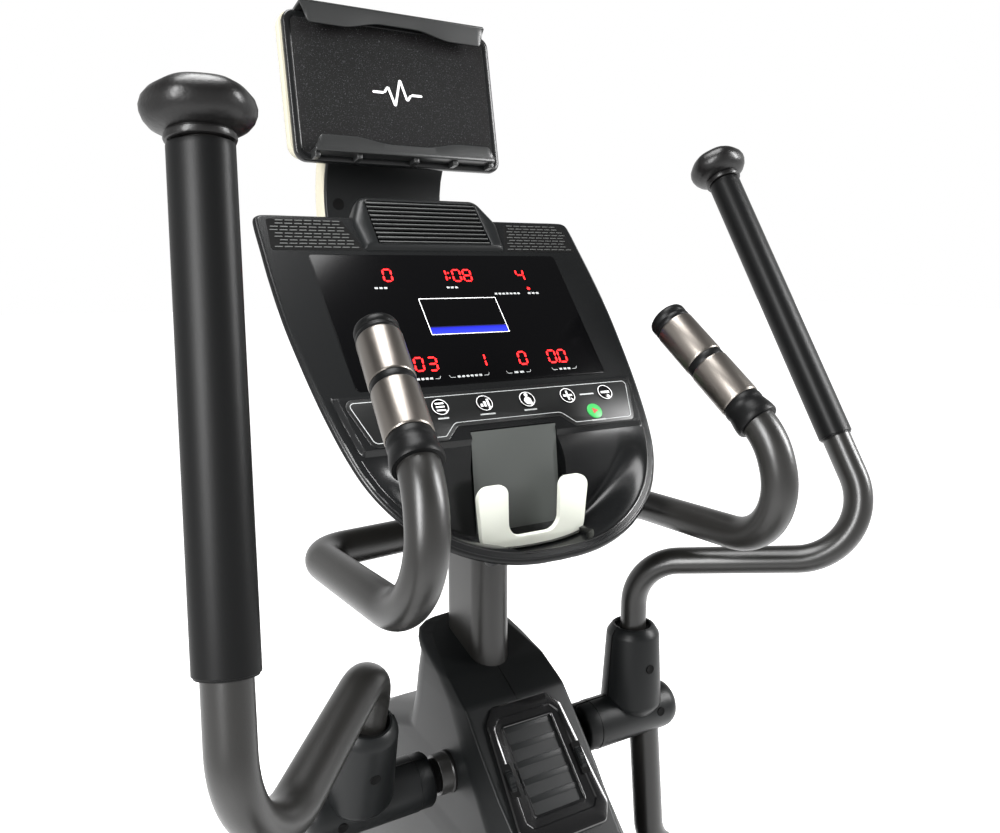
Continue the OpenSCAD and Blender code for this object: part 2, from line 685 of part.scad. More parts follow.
// Outline of the bent box tube in the X-Y plane, g smaller all round
function pedal_strip(g) = let (w = arm_half - g, k = (arm_half - g)*(norm([out_x, 260]) - 260)/out_x)
    [[roller_x - w, 38 + g, 0], [roller_x + w, 38 + g, 0], [roller_x + w, 300 - k, 60],
    [arm_low_x + w, 560 - k, 60], [arm_low_x + w, pedal_arm_len - 40 - g, 0],
    [arm_low_x - w, pedal_arm_len - 40 - g, 0], [arm_low_x - w, 560 + k, 60], [roller_x - w, 300 + k, 60]];
out_x = arm_low_x - roller_x;
module pedal_arm(side) color("dimgray") pedal_frame(side) {
    ear_x = arm_low_x + eye_w/2 + 0.5;
    ear_in = arm_low_x - eye_w/2 - 0.5;
    difference() {
        union() {
            difference() {
                translate([0, 0, -tube_r]) linear_extrude(2*tube_r) polygon(rounded(pedal_strip(0)));
                translate([0, 0, arm_wall - tube_r]) linear_extrude(2*(tube_r - arm_wall))
                    polygon(rounded(pedal_strip(arm_wall)));
            }
            translate([roller_x - 13, 4, -14]) cube([26, 36, 28]);
            x_rod(roller_x - eye_w/2 + ear_t + 0.5, roller_x + eye_w/2 - ear_t - 0.5, 0, 0, eye_r);
            translate([ear_in - ear_t, pedal_arm_len - 42, -16]) cube([ear_x - ear_in + 2*ear_t, 6, 32]);
            for (x = [ear_in - ear_t, ear_x]) {
                translate([x, pedal_arm_len - 40, -16]) cube([ear_t, 40, 32]);
                x_rod(x, x + ear_t, pedal_arm_len, 0, 16);
            }
        }
        x_rod(roller_x - eye_w, roller_x + eye_w, 0, 0, pin_r + run_gap);
        translate([arm_low_x - 8, pedal_arm_len - 50, -8]) cube([16, 20, 16]);
    }
    x_rod(ear_in - ear_t - 6, ear_in - ear_t, pedal_arm_len, 0, 10);
    x_rod(ear_in - ear_t - 1, ear_x + ear_t + 1, pedal_arm_len, 0, bolt_r);
    x_rod(ear_x + ear_t, ear_x + ear_t + 7, pedal_arm_len, 0, 10);
}
module pedal_arm_left() pedal_arm(-1);
module pedal_arm_right() pedal_arm(1);

pedal_x = 158;
pedal_seat = 48;
function pedal_outline() = [[-pedal_w/2, 0, 40], [pedal_w/2, 0, 60], [pedal_w/2, pedal_len, 45],
    [-pedal_w/2, pedal_len, 35]];
module foot_pedal(side) color([0.1, 0.1, 0.1]) pedal_frame(side) {
    translate([pedal_x, -40, pedal_seat]) rotate([-4, 0, 0]) difference() {
        linear_extrude(45) polygon(rounded(pedal_outline()));
        translate([0, 0, 8]) linear_extrude(60) polygon(rounded(inset(pedal_outline(), 6)));
        translate([-pedal_w, -30, 20]) cube([2*pedal_w, 190, 60]);
    }
    for (q = [[60, 22], [180, 13]]) translate([roller_x - 15, q[0], tube_r]) cube([30, 40, q[1]]);
}
module foot_pedal_left() foot_pedal(-1);
module foot_pedal_right() foot_pedal(1);

module roller_arm(side) color("dimgray") roller_frame(side) {
    x0 = roller_x - eye_w/2;
    x1 = roller_x + eye_w/2;
    difference() {
        union() {
            translate([roller_x, (roller_arm_len + 42)/2 - 2, 0])
                box_tube([30, roller_arm_len - 50, 34], 2, 1);
            x_rod(x0, x1, roller_arm_len, 0, 22);
            for (x = [x0, x1 - ear_t]) {
                translate([x, -14, -14]) cube([ear_t, 78, 28]);
                translate([x, pivot_ahead - 24, -14]) cube([ear_t, 48, pivot_over + 14]);
                x_rod(x, x + ear_t, pivot_ahead, pivot_over, 20);
            }
        }
        x_rod(x0 - 1, x1 + 1, roller_arm_len, 0, 12);
        x_rod(x0 - 1, x1 + 1, pivot_ahead, pivot_over, pin_r);
        x_rod(x0 - 1, x1 + 1, 0, 0, 7);
    }
    x_rod(x0 - 4, x1 + 4, pivot_ahead, pivot_over, pin_r);
    x_rod(x0 - 3, x1 + 3, 0, 0, 7);
    x_rod(x0 + 0.2, x1 + 6, roller_arm_len, 0, 12);
}
module roller_arm_left() roller_arm(-1);
module roller_arm_right() roller_arm(1);

module roller(side) color([0.85, 0.85, 0.82]) roller_frame(side) difference() {
    x_rod(roller_x - eye_w/2 + ear_t + 0.5, roller_x + eye_w/2 - ear_t - 0.5, 0, 0, roller_r);
    x_rod(roller_x - eye_w, roller_x + eye_w, 0, 0, 7 + run_gap);
}
module roller_left() roller(-1);
module roller_right() roller(1);

// ---- drive ----

pulley_x = 48;
pulley_t = 16;
module crank_frame() {
    translate([0, crank_y, crank_h]) rotate([-crank_phase, 0, 0]) children();
}

module crank_set() color("silver") crank_frame() {
    x_in = cover_half + crank_gap;
    x_rod(-x_in - crank_t - 0.01, x_in + crank_t + 0.01, 0, 0, 12.5);
    for (s = [-1, 1]) difference() {
        on_side(s) {
            x_rod(x_in, x_in + crank_t, 0, 0, 24);
            x_rod(x_in, x_in + crank_t, 0, -crank_len, 22);
            translate([x_in, -15, -crank_len]) cube([crank_t, 30, crank_len]);
        }
        x_rod(-200, 200, 0, 0, 12.5);
    }
}

module drive_pulley() color([0.1, 0.1, 0.1]) difference() {
    union() {
        x_rod(pulley_x, pulley_x + pulley_t, crank_y, crank_h, pulley_r);
    }
    x_rod(pulley_x - 1, pulley_x + pulley_t + 1, crank_y, crank_h, 12.5);
    for (a = [0:60:300]) translate([0, crank_y, crank_h]) rotate([a, 0, 0])
        x_rod(pulley_x - 1, pulley_x + pulley_t + 1, 0, 80, 28);
}

module flywheel() color("silver") {
    x_rod(-66, 66, flywheel_y, flywheel_h, 8);
    x_tube(-60, -38, flywheel_y, flywheel_h, flywheel_r, 8);
    x_tube(pulley_x, pulley_x + pulley_t, flywheel_y, flywheel_h, pinion_r, 8);
}

belt_t = 3;
belt_gap = 0.4;
module belt_slab(x0, x1, grow) {
    c1 = [crank_y, crank_h];
    c2 = [flywheel_y, flywheel_h];
    r1 = pulley_r + grow;
    r2 = pinion_r + grow;
    d = norm(c2 - c1);
    base = atan2(c2[1] - c1[1], c2[0] - c1[0]);
    wrap = acos((r1 - r2)/d);
    side_slab([each [for (i = [0:40]) let (a = base + wrap + i*(360 - 2*wrap)/40) c1 + r1*[cos(a), sin(a)]],
        each [for (i = [0:16]) let (a = base - wrap + i*2*wrap/16) c2 + r2*[cos(a), sin(a)]]], x0, x1);
}

module drive_belt() color([0.05, 0.05, 0.05]) difference() {
    belt_slab(pulley_x + 1, pulley_x + pulley_t - 1, belt_gap + belt_t);
    belt_slab(pulley_x, pulley_x + pulley_t, belt_gap + 0.6);
}

module magnet_brake() color("gray") {
    pin = [flywheel_y + 20, flywheel_h - flywheel_r - 45];
    difference() {
        translate([0, flywheel_y, flywheel_h]) for (s = [-1, 1]) translate([s*14 - 49 - 2.5, -30, -flywheel_r - 40])
            cube([5, 60, 62]);
        x_rod(-80, 0, pin[0], pin[1] + 22, 4);
    }
    translate([-49 - 16.5, flywheel_y - 30, flywheel_h - flywheel_r - 40]) cube([33, 60, 6]);
}

base_frame();
roller_rails();
leveling_feet();
transport_wheels();
mast();
pivot_axle();
cover_left();
cover_right();
vent_bezel();
fan_housing();
fan_impeller();
louver_1();
louver_2();
louver_3();
louver_4();
louver_5();
thumbwheel_left();
thumbwheel_right();
console_face();
console_back();
display_lens();
keypad_panel();
control_board();
button_mode();
button_program();
button_body_fat();
button_plus();
button_minus();
button_start();
phone_holder();
tablet_neck();
tablet_shell();
tablet_pad();
tablet_clamp();
fixed_handlebar();
pulse_grips();
pulse_plates();
handlebar_left();
handlebar_right();
foam_grip_left();
foam_grip_right();
end_knob_left();
end_knob_right();
joint_cover_left();
joint_cover_right();
swing_arm_left();
swing_arm_right();
pedal_arm_left();
pedal_arm_right();
foot_pedal_left();
foot_pedal_right();
roller_arm_left();
roller_arm_right();
roller_left();
roller_right();
crank_set();
drive_pulley();
flywheel();
drive_belt();
magnet_brake();
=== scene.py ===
"""Looks of a front-drive elliptical trainer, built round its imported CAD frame.

Every new piece is a surface computed with numpy in millimetres in the row frame and written in metres.
"""

import math

import bmesh
import bpy
import numpy as np
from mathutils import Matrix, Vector


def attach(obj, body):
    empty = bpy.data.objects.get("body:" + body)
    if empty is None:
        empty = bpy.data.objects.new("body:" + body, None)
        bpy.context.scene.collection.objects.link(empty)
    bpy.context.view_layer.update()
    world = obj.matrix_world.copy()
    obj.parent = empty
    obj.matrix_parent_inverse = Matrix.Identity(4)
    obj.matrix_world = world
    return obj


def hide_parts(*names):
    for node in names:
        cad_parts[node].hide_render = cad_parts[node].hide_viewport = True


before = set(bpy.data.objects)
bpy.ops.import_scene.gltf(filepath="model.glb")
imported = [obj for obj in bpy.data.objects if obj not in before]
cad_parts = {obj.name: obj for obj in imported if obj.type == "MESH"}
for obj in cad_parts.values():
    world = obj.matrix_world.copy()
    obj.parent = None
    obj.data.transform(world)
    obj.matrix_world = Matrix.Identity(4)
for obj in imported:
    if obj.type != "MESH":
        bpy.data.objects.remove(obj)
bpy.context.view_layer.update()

MM = 0.001


# ---------------------------------------------------------------- vectors and places


def unit(v):
    v = np.asarray(v, float)
    return v / np.linalg.norm(v)


def smooth(t):
    """3t^2 - 2t^3 on t held between 0 and 1."""
    t = np.clip(t, 0, 1)
    return t * t * (3 - 2 * t)


def tilted(origin, degrees):
    """Maps (x, up the slope, out of it) to the row frame, for a plane through origin that leans back."""
    a = math.radians(degrees)
    axes = np.array([[1, 0, 0], [0, math.cos(a), math.sin(a)], [0, -math.sin(a), math.cos(a)]])
    return lambda p: np.asarray(p, float) @ axes + origin


def turned(origin, degrees, side=1):
    """Maps a right-hand side part's own (x, y, z) about origin, turned about X; side -1 mirrors it first."""
    a = math.radians(degrees)
    axes = np.array([[side, 0, 0], [0, math.cos(a), math.sin(a)], [0, -math.sin(a), math.cos(a)]])
    return lambda p: np.asarray(p, float) @ axes + origin


def still(p):
    return np.asarray(p, float)


FACE = tilted(np.array([0, 407, 1491.5]), 48.7)
VENT = tilted(np.array([0, 208, 1022]), 45)
TABLET = tilted(np.array([0, 487.5, 1589]), 78.9)

# The linkage at rest, as in the CAD: places are (y, z) and lengths run between bearings
CRANK = np.array([560.0, 300.0])
CRANK_LEN, CRANK_PHASE = 165, math.radians(36)
PIVOT = np.array([274.0, 1000.0])
PIVOT_CENTRE = np.array([0, *PIVOT])
SWING_LEN, PEDAL_ARM_LEN, ROLLER_ARM_LEN = 640, 755, 1150
ROLLER_H, PIVOT_AHEAD, PIVOT_OVER = 125, 150, 95


def front_pivot(side):
    """Where the pedal arm hangs from the swing arm as (y, z), from circles of the arms' lengths."""
    pin = CRANK - side * CRANK_LEN * np.array([math.sin(CRANK_PHASE), math.cos(CRANK_PHASE)])
    roller = np.array([pin[0] - math.sqrt(ROLLER_ARM_LEN**2 - (pin[1] - ROLLER_H) ** 2), ROLLER_H])
    u = (pin - roller) / ROLLER_ARM_LEN
    rear = roller + PIVOT_AHEAD * u + PIVOT_OVER * np.array([-u[1], u[0]])
    d = PIVOT - rear
    gap = math.hypot(*d)
    along = (PEDAL_ARM_LEN**2 - SWING_LEN**2 + gap**2) / (2 * gap)
    off = math.sqrt(PEDAL_ARM_LEN**2 - along**2)
    return rear + along * d / gap + off * np.array([d[1], -d[0]]) / gap


def at_swing(side):
    """Place of a swing arm's own coordinates, whose origin is on the axle and whose z runs up the stub."""
    front = front_pivot(side)
    angle = math.degrees(math.atan2(front[0] - PIVOT[0], PIVOT[1] - front[1]))
    return turned(PIVOT_CENTRE, angle, side)


# ---------------------------------------------------------------- surfaces


def loft(rings, close=True, caps=(True, True)):
    """Quads between successive rings of points, with the first and last ring filled if caps says so."""
    rings = np.asarray(rings, float)
    m, n = rings.shape[:2]
    i, k = np.meshgrid(np.arange(m - 1), np.arange(n if close else n - 1), indexing="ij")
    e = (k + 1) % n
    faces = np.stack([i * n + k, i * n + e, (i + 1) * n + e, (i + 1) * n + k], -1).reshape(-1, 4).tolist()
    if caps[0]:
        faces.append(list(range(n))[::-1])
    if caps[1]:
        faces.append([(m - 1) * n + j for j in range(n)])
    return rings.reshape(-1, 3), faces


def corner_arc(p, a, b, step=8):
    """Points of the arc of radius p[2] that rounds corner p between a and b."""
    p2, r = np.array(p[:2], float), p[2]
    if r <= 0:
        return [p2]
    d1, d2 = unit(np.array(a[:2]) - p2), unit(np.array(b[:2]) - p2)
    half = math.acos(np.clip(d1 @ d2, -1, 1)) / 2
    c = p2 + unit(d1 + d2) * r / math.sin(half)
    s, e = p2 + d1 * r / math.tan(half) - c, p2 + d2 * r / math.tan(half) - c
    a0 = math.atan2(s[1], s[0])
    turn = (math.atan2(e[1], e[0]) - a0 + math.pi) % (2 * math.pi) - math.pi
    n = max(1, math.ceil(abs(math.degrees(turn)) / step))
    return [c + r * np.array([math.cos(a0 + turn * i / n), math.sin(a0 + turn * i / n)]) for i in range(n + 1)]


def rounded(corners, step=8):
    """Outline through corners (u, v, radius), each rounded to its radius."""
    n = len(corners)
    points = [q for i in range(n) for q in corner_arc(corners[i], corners[i - 1], corners[(i + 1) % n], step)]
    return np.array(points)


def both_sides(half):
    return list(half) + [(-x, y, r) for x, y, r in reversed(half)]


def inset(points, t):
    """The anticlockwise outline with each edge moved inwards by t."""
    e = np.roll(points, -1, 0) - points
    e = e / np.linalg.norm(e, axis=1)[:, None]
    normal = np.stack([-e[:, 1], e[:, 0]], 1)
    before = np.roll(normal, 1, 0)
    return points + (normal + before) * t / (1 + (normal * before).sum(1))[:, None]


def anticlockwise(points):
    """The outline in the direction that makes its signed area positive."""
    x, y = points[:, 0], points[:, 1]
    return points if np.sum(x * np.roll(y, -1) - np.roll(x, -1) * y) > 0 else points[::-1]


def slab(outline, levels):
    """Stack of the outline at (inset, height) levels, filled at both ends."""
    rings = [np.column_stack([inset(outline, t), np.full(len(outline), z)]) for t, z in levels]
    return loft(rings)


def bevelled(z0, z1, r, n=3):
    """Levels for slab between z0 and z1: a small chamfer below and a quarter circle of radius r above."""
    a = np.linspace(0, math.pi / 2, n + 1)
    low = [(0.3, z0), (0, z0 + 0.3)]
    return low + [(r - r * math.cos(t), z1 - r + r * math.sin(t)) for t in a]


def rect(x0, x1, y0, y1, r):
    return rounded([(x0, y0, r), (x1, y0, r), (x1, y1, r), (x0, y1, r)])


def block(x0, x1, y0, y1, z0, z1, r=2):
    """Box with rounded edges: a slab with a rounded outline and quarter circles at both ends."""
    a = np.linspace(0, math.pi / 2, 4)
    low = [(r - r * math.sin(t), z0 + r - r * math.cos(t)) for t in a]
    high = [(r - r * math.cos(t), z1 - r + r * math.sin(t)) for t in a]
    return slab(rect(x0, x1, y0, y1, r + 0.01), low + high)


def turned_part(profile, n=72, oval=(1, 1), lobes=None):
    """Surface of revolution of (radius, height) about z, stretched by oval and lobed by a function."""
    a = np.linspace(0, 2 * math.pi, n, endpoint=False)
    rings = []
    for r, z in profile:
        q = r * (lobes(a, r, z) if lobes else 1) * np.ones(n)
        rings.append(np.stack([q * np.cos(a) * oval[0], q * np.sin(a) * oval[1], np.full(n, z)], 1))
    return loft(rings)


def basis(axis, ref=(0, 0, 1)):
    """Axes with the third along axis and the first nearest to ref."""
    w = unit(axis)
    u = np.asarray(ref, float) - (np.asarray(ref, float) @ w) * w
    if np.linalg.norm(u) < 1e-6:
        u = np.array([0, 0, 1.0]) - w[2] * w
    u = unit(u)
    return np.array([u, np.cross(w, u), w])


def moved(part, origin, axis=(0, 0, 1), ref=(1, 0, 0)):
    verts, faces = part
    return verts @ basis(axis, ref) + np.asarray(origin, float), faces


def mapped(part, place):
    return place(part[0]), part[1]


def fillet_path(points, radii, step=5):
    """Path through points with each inner corner replaced by an arc of its radius."""
    p = [np.asarray(q, float) for q in points]
    radii = [radii] * (len(p) - 2) if np.isscalar(radii) else radii
    out = [p[0]]
    for i in range(1, len(p) - 1):
        d1, d2, r = unit(p[i - 1] - p[i]), unit(p[i + 1] - p[i]), radii[i - 1]
        half = math.acos(np.clip(d1 @ d2, -1, 1)) / 2
        c = p[i] + unit(d1 + d2) * r / math.sin(half)
        turn = math.pi - 2 * half
        u, v = unit(p[i] + d1 * r / math.tan(half) - c), -d1
        n = max(2, math.ceil(math.degrees(turn) / step))
        out += [c + r * (math.cos(turn * j / n) * u + math.sin(turn * j / n) * v) for j in range(n + 1)]
    out.append(p[-1])
    return np.array(out)


def dense(path, step=8):
    """The path with long straights cut into pieces no longer than step."""
    out = [path[0]]
    for a, b in zip(path[:-1], path[1:]):
        n = max(1, int(np.linalg.norm(b - a) / step))
        out += [a + (b - a) * i / n for i in range(1, n + 1)]
    return np.array(out)


def tube(path, w, d, ref, n=44, end=2.0):
    """Oval tube swept along path with a frame carried without twist.

    It is w across ref and d the other way, and its ends are rounded by end.
    """
    path = np.asarray(path, float)
    t = np.gradient(path, axis=0)
    t = t / np.linalg.norm(t, axis=1)[:, None]
    normals = []
    u = np.asarray(ref, float)
    for k in t:
        u = unit(u - (u @ k) * k)
        normals.append(u)
    a = np.linspace(0, 2 * math.pi, n, endpoint=False)

    def ring(i, shrink, slide):
        u, k = normals[i], t[i]
        v = np.cross(k, u)
        return (path[i] + slide * k + (w / 2 - shrink) * np.cos(a)[:, None] * u
                + (d / 2 - shrink) * np.sin(a)[:, None] * v)

    rings = [ring(0, end, 0), ring(0, end * 0.3, end * 0.3), ring(0, 0, end)] if end else []
    rings += [ring(i, 0, 0) for i in range(1 if end else 0, len(path) - (1 if end else 0))]
    last = len(path) - 1
    rings += [ring(last, 0, -end), ring(last, end * 0.3, -end * 0.3), ring(last, end, 0)] if end else []
    return loft(rings)


def flat(outline, z):
    return np.column_stack([outline, np.full(len(outline), z)]), [list(range(len(outline)))]


def frame_line(outline, width, z):
    """Flat band of that width just inside an outline."""
    rings = [np.column_stack([outline, np.full(len(outline), z)]),
             np.column_stack([inset(outline, width), np.full(len(outline), z)])]
    return loft(rings, caps=(False, False))


def piece(name, parts, material, body, nodes=(), place=still, angle=38):
    """One mesh object from (points, faces) parts, placed in the row frame, riding on body.

    It replaces the CAD nodes named, and edges sharper than angle stay sharp.
    """
    parts = parts if isinstance(parts, list) else [parts]
    verts, faces, start = [], [], 0
    for v, f in parts:
        verts.append(v)
        faces += [[i + start for i in q] for q in f]
        start += len(v)
    mesh = bpy.data.meshes.new(name)
    mesh.from_pydata((place(np.concatenate(verts)) * MM).tolist(), [], faces)
    bm_fix(mesh)
    mesh.materials.append(material)
    mesh.shade_smooth()
    mesh.set_sharp_from_angle(angle=math.radians(angle))
    obj = bpy.data.objects.new(name, mesh)
    bpy.context.scene.collection.objects.link(obj)
    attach(obj, body)
    if nodes:
        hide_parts(*([nodes] if isinstance(nodes, str) else nodes))
    return obj


def bm_fix(mesh):
    """Faces of every closed shell point outwards."""
    bm = bmesh.new()
    bm.from_mesh(mesh)
    bmesh.ops.recalc_face_normals(bm, faces=bm.faces)
    bm.to_mesh(mesh)
    bm.free()


# ---------------------------------------------------------------- materials


def grain_group():
    """Noise height at two sizes, in object coordinates."""
    g = bpy.data.node_groups.new("grain", "ShaderNodeTree")
    g.interface.new_socket("Scale", in_out="INPUT", socket_type="NodeSocketFloat")
    g.interface.new_socket("Height", in_out="OUTPUT", socket_type="NodeSocketFloat")
    i, o = g.nodes.new("NodeGroupInput"), g.nodes.new("NodeGroupOutput")
    c, n = g.nodes.new("ShaderNodeTexCoord"), g.nodes.new("ShaderNodeTexNoise")
    n.inputs["Detail"].default_value = 3
    n.inputs["Roughness"].default_value = 0.6
    g.links.new(c.outputs["Object"], n.inputs["Vector"])
    g.links.new(i.outputs["Scale"], n.inputs["Scale"])
    g.links.new(n.outputs["Fac"], o.inputs["Height"])
    return g


GRAIN = grain_group()


def finish_of(name, colour, rough, metal=0.0, coat=0.0, grain=None, light=0.0, spec=0.5):
    """Principled material; grain is (noise scale per metre, bump strength, bump distance in metres)."""
    m = bpy.data.materials.new(name)
    m.use_nodes = True
    b = m.node_tree.nodes["Principled BSDF"]
    b.inputs["Base Color"].default_value = (*colour, 1)
    b.inputs["Roughness"].default_value = rough
    b.inputs["Metallic"].default_value = metal
    b.inputs["Coat Weight"].default_value = coat
    b.inputs["Coat Roughness"].default_value = 0.08
    b.inputs["Specular IOR Level"].default_value = spec
    if light:
        b.inputs["Emission Color"].default_value = (*colour, 1)
        b.inputs["Emission Strength"].default_value = light
    if grain:
        g = m.node_tree.nodes.new("ShaderNodeGroup")
        g.node_tree = GRAIN
        g.inputs["Scale"].default_value = grain[0]
        bump = m.node_tree.nodes.new("ShaderNodeBump")
        bump.inputs["Strength"].default_value = grain[1]
        bump.inputs["Distance"].default_value = grain[2]
        m.node_tree.links.new(g.outputs["Height"], bump.inputs["Height"])
        m.node_tree.links.new(bump.outputs["Normal"], b.inputs["Normal"])
    return m


PAINT = finish_of("satin_paint", (0.0075, 0.0072, 0.0066), 0.33, grain=(900, 0.25, 0.0003), spec=0.42)
FOAM = finish_of("foam_black", (0.0025, 0.0026, 0.0027), 0.4, grain=(1500, 0.2, 0.0003), spec=0.12)
KNOB = finish_of("knob_rubber", (0.0035, 0.0033, 0.0033), 0.34, grain=(160, 0.3, 0.001), spec=0.25)
PLASTIC = finish_of("charcoal_plastic", (0.0045, 0.005, 0.0052), 0.38, grain=(2200, 0.12, 0.0002), spec=0.17)
SATIN = finish_of("satin_plastic", (0.0045, 0.0048, 0.005), 0.26, spec=0.24)
GLOSS = finish_of("gloss_plastic", (0.003, 0.003, 0.0032), 0.14, coat=0.3, spec=0.4)
LENS = finish_of("lens", (0.0014, 0.0014, 0.0016), 0.14, spec=0.1)
PANEL = finish_of("keypad_film", (0.005, 0.0053, 0.0053), 0.3, spec=0.35)
# Flat black used two ways: as the own colour of dark parts such as the axle washers, and as painted shade,
# where black sheets, lines and cups stand for the shade in gaps, seams, holes and openings.
BLACK_AND_SHADE = finish_of("black_and_painted_shade", (0.0015, 0.0015, 0.0015), 0.8, spec=0.1)
SILVER = finish_of("silver_plate", (0.17, 0.155, 0.14), 0.34, 1.0, grain=(2500, 0.1, 0.0002))
WHITE = finish_of("holder_white", (0.70, 0.72, 0.64), 0.42)
IVORY = finish_of("shell_ivory", (0.36, 0.34, 0.27), 0.5, spec=0.2)
# A lighter grey than the charcoal plastic, as painted light on the tablet lips, whose faces turn towards the
# lamps.
LIP = finish_of("lip_grey", (0.012, 0.0125, 0.0125), 0.33, spec=0.35)
PALE = finish_of("print_pale", (0.30, 0.31, 0.31), 0.6)
BRIGHT = finish_of("print_white", (0.7, 0.7, 0.7), 0.6)
RED = finish_of("led_red", (1.0, 0.004, 0.006), 0.5, light=2.4)
# The start button's faint glow is painted light: the button is no lamp.
GREEN = finish_of("start_green", (0.02, 0.25, 0.05), 0.45, light=0.25)
DARK_RED = finish_of("start_arrow", (0.35, 0.03, 0.02), 0.5)
# Lighter grey that stands for painted highlights: on the speaker dashes, which are the same plastic as the
# console, and along the hood ribs' edges.
HIGHLIGHT_GREY = finish_of("painted_highlight_grey", (0.06, 0.062, 0.06), 0.4)
PLATE_GREY = finish_of("recess_grey", (0.055, 0.06, 0.056), 0.42, grain=(2200, 0.15, 0.0002))


def pad_finish():
    """Black foam with small pale specks."""
    m = finish_of("pad_speckle", (0.003, 0.003, 0.003), 0.8, grain=(1600, 0.6, 0.0004), spec=0.15)
    t = m.node_tree
    c, n, r = (t.nodes.new(k) for k in ("ShaderNodeTexCoord", "ShaderNodeTexNoise", "ShaderNodeValToRGB"))
    n.inputs["Scale"].default_value = 1100
    n.inputs["Detail"].default_value = 2
    r.color_ramp.elements[0].position, r.color_ramp.elements[0].color = 0.62, (0.003, 0.003, 0.003, 1)
    r.color_ramp.elements[1].position, r.color_ramp.elements[1].color = 0.74, (0.07, 0.07, 0.075, 1)
    t.links.new(c.outputs["Object"], n.inputs["Vector"])
    t.links.new(n.outputs["Fac"], r.inputs["Fac"])
    t.links.new(r.outputs["Color"], t.nodes["Principled BSDF"].inputs["Base Color"])
    return m


def glow_finish(z0, z1):
    """Blue light that fades upwards between heights z0 and z1 in metres."""
    m = finish_of("lcd_glow", (0.01, 0.02, 1.0), 0.3, light=1.0)
    t = m.node_tree
    c, s, r = (t.nodes.new(k) for k in ("ShaderNodeTexCoord", "ShaderNodeSeparateXYZ", "ShaderNodeMapRange"))
    for k, v in (("From Min", z0), ("From Max", z1), ("To Min", 3.0), ("To Max", 0.0)):
        r.inputs[k].default_value = v
    t.links.new(c.outputs["Object"], s.inputs["Vector"])
    t.links.new(s.outputs["Z"], r.inputs["Value"])
    t.links.new(r.outputs["Result"], t.nodes["Principled BSDF"].inputs["Emission Strength"])
    t.nodes["Principled BSDF"].inputs["Base Color"].default_value = (0.002, 0.002, 0.004, 1)
    return m


PAD = pad_finish()

# ---------------------------------------------------------------- swing arms

LEAN = math.radians(7)
STUB_X = 160
BAR = [(STUB_X, -22 * math.sin(LEAN), 22 * math.cos(LEAN)), (STUB_X, -171 * math.tan(LEAN), 171),
       (322, -209, 180), (299.6, -32, 572)]
BEND_NORMAL = (0.755, 0.655, 0)
FOAM_LEN = 302


def knob_lobes(a, r, z):
    """Six shallow flats round the crown, fading towards the neck."""
    return 1 - 0.035 * smooth((z - 8) / 12) * (0.5 + 0.5 * np.cos(6 * a))


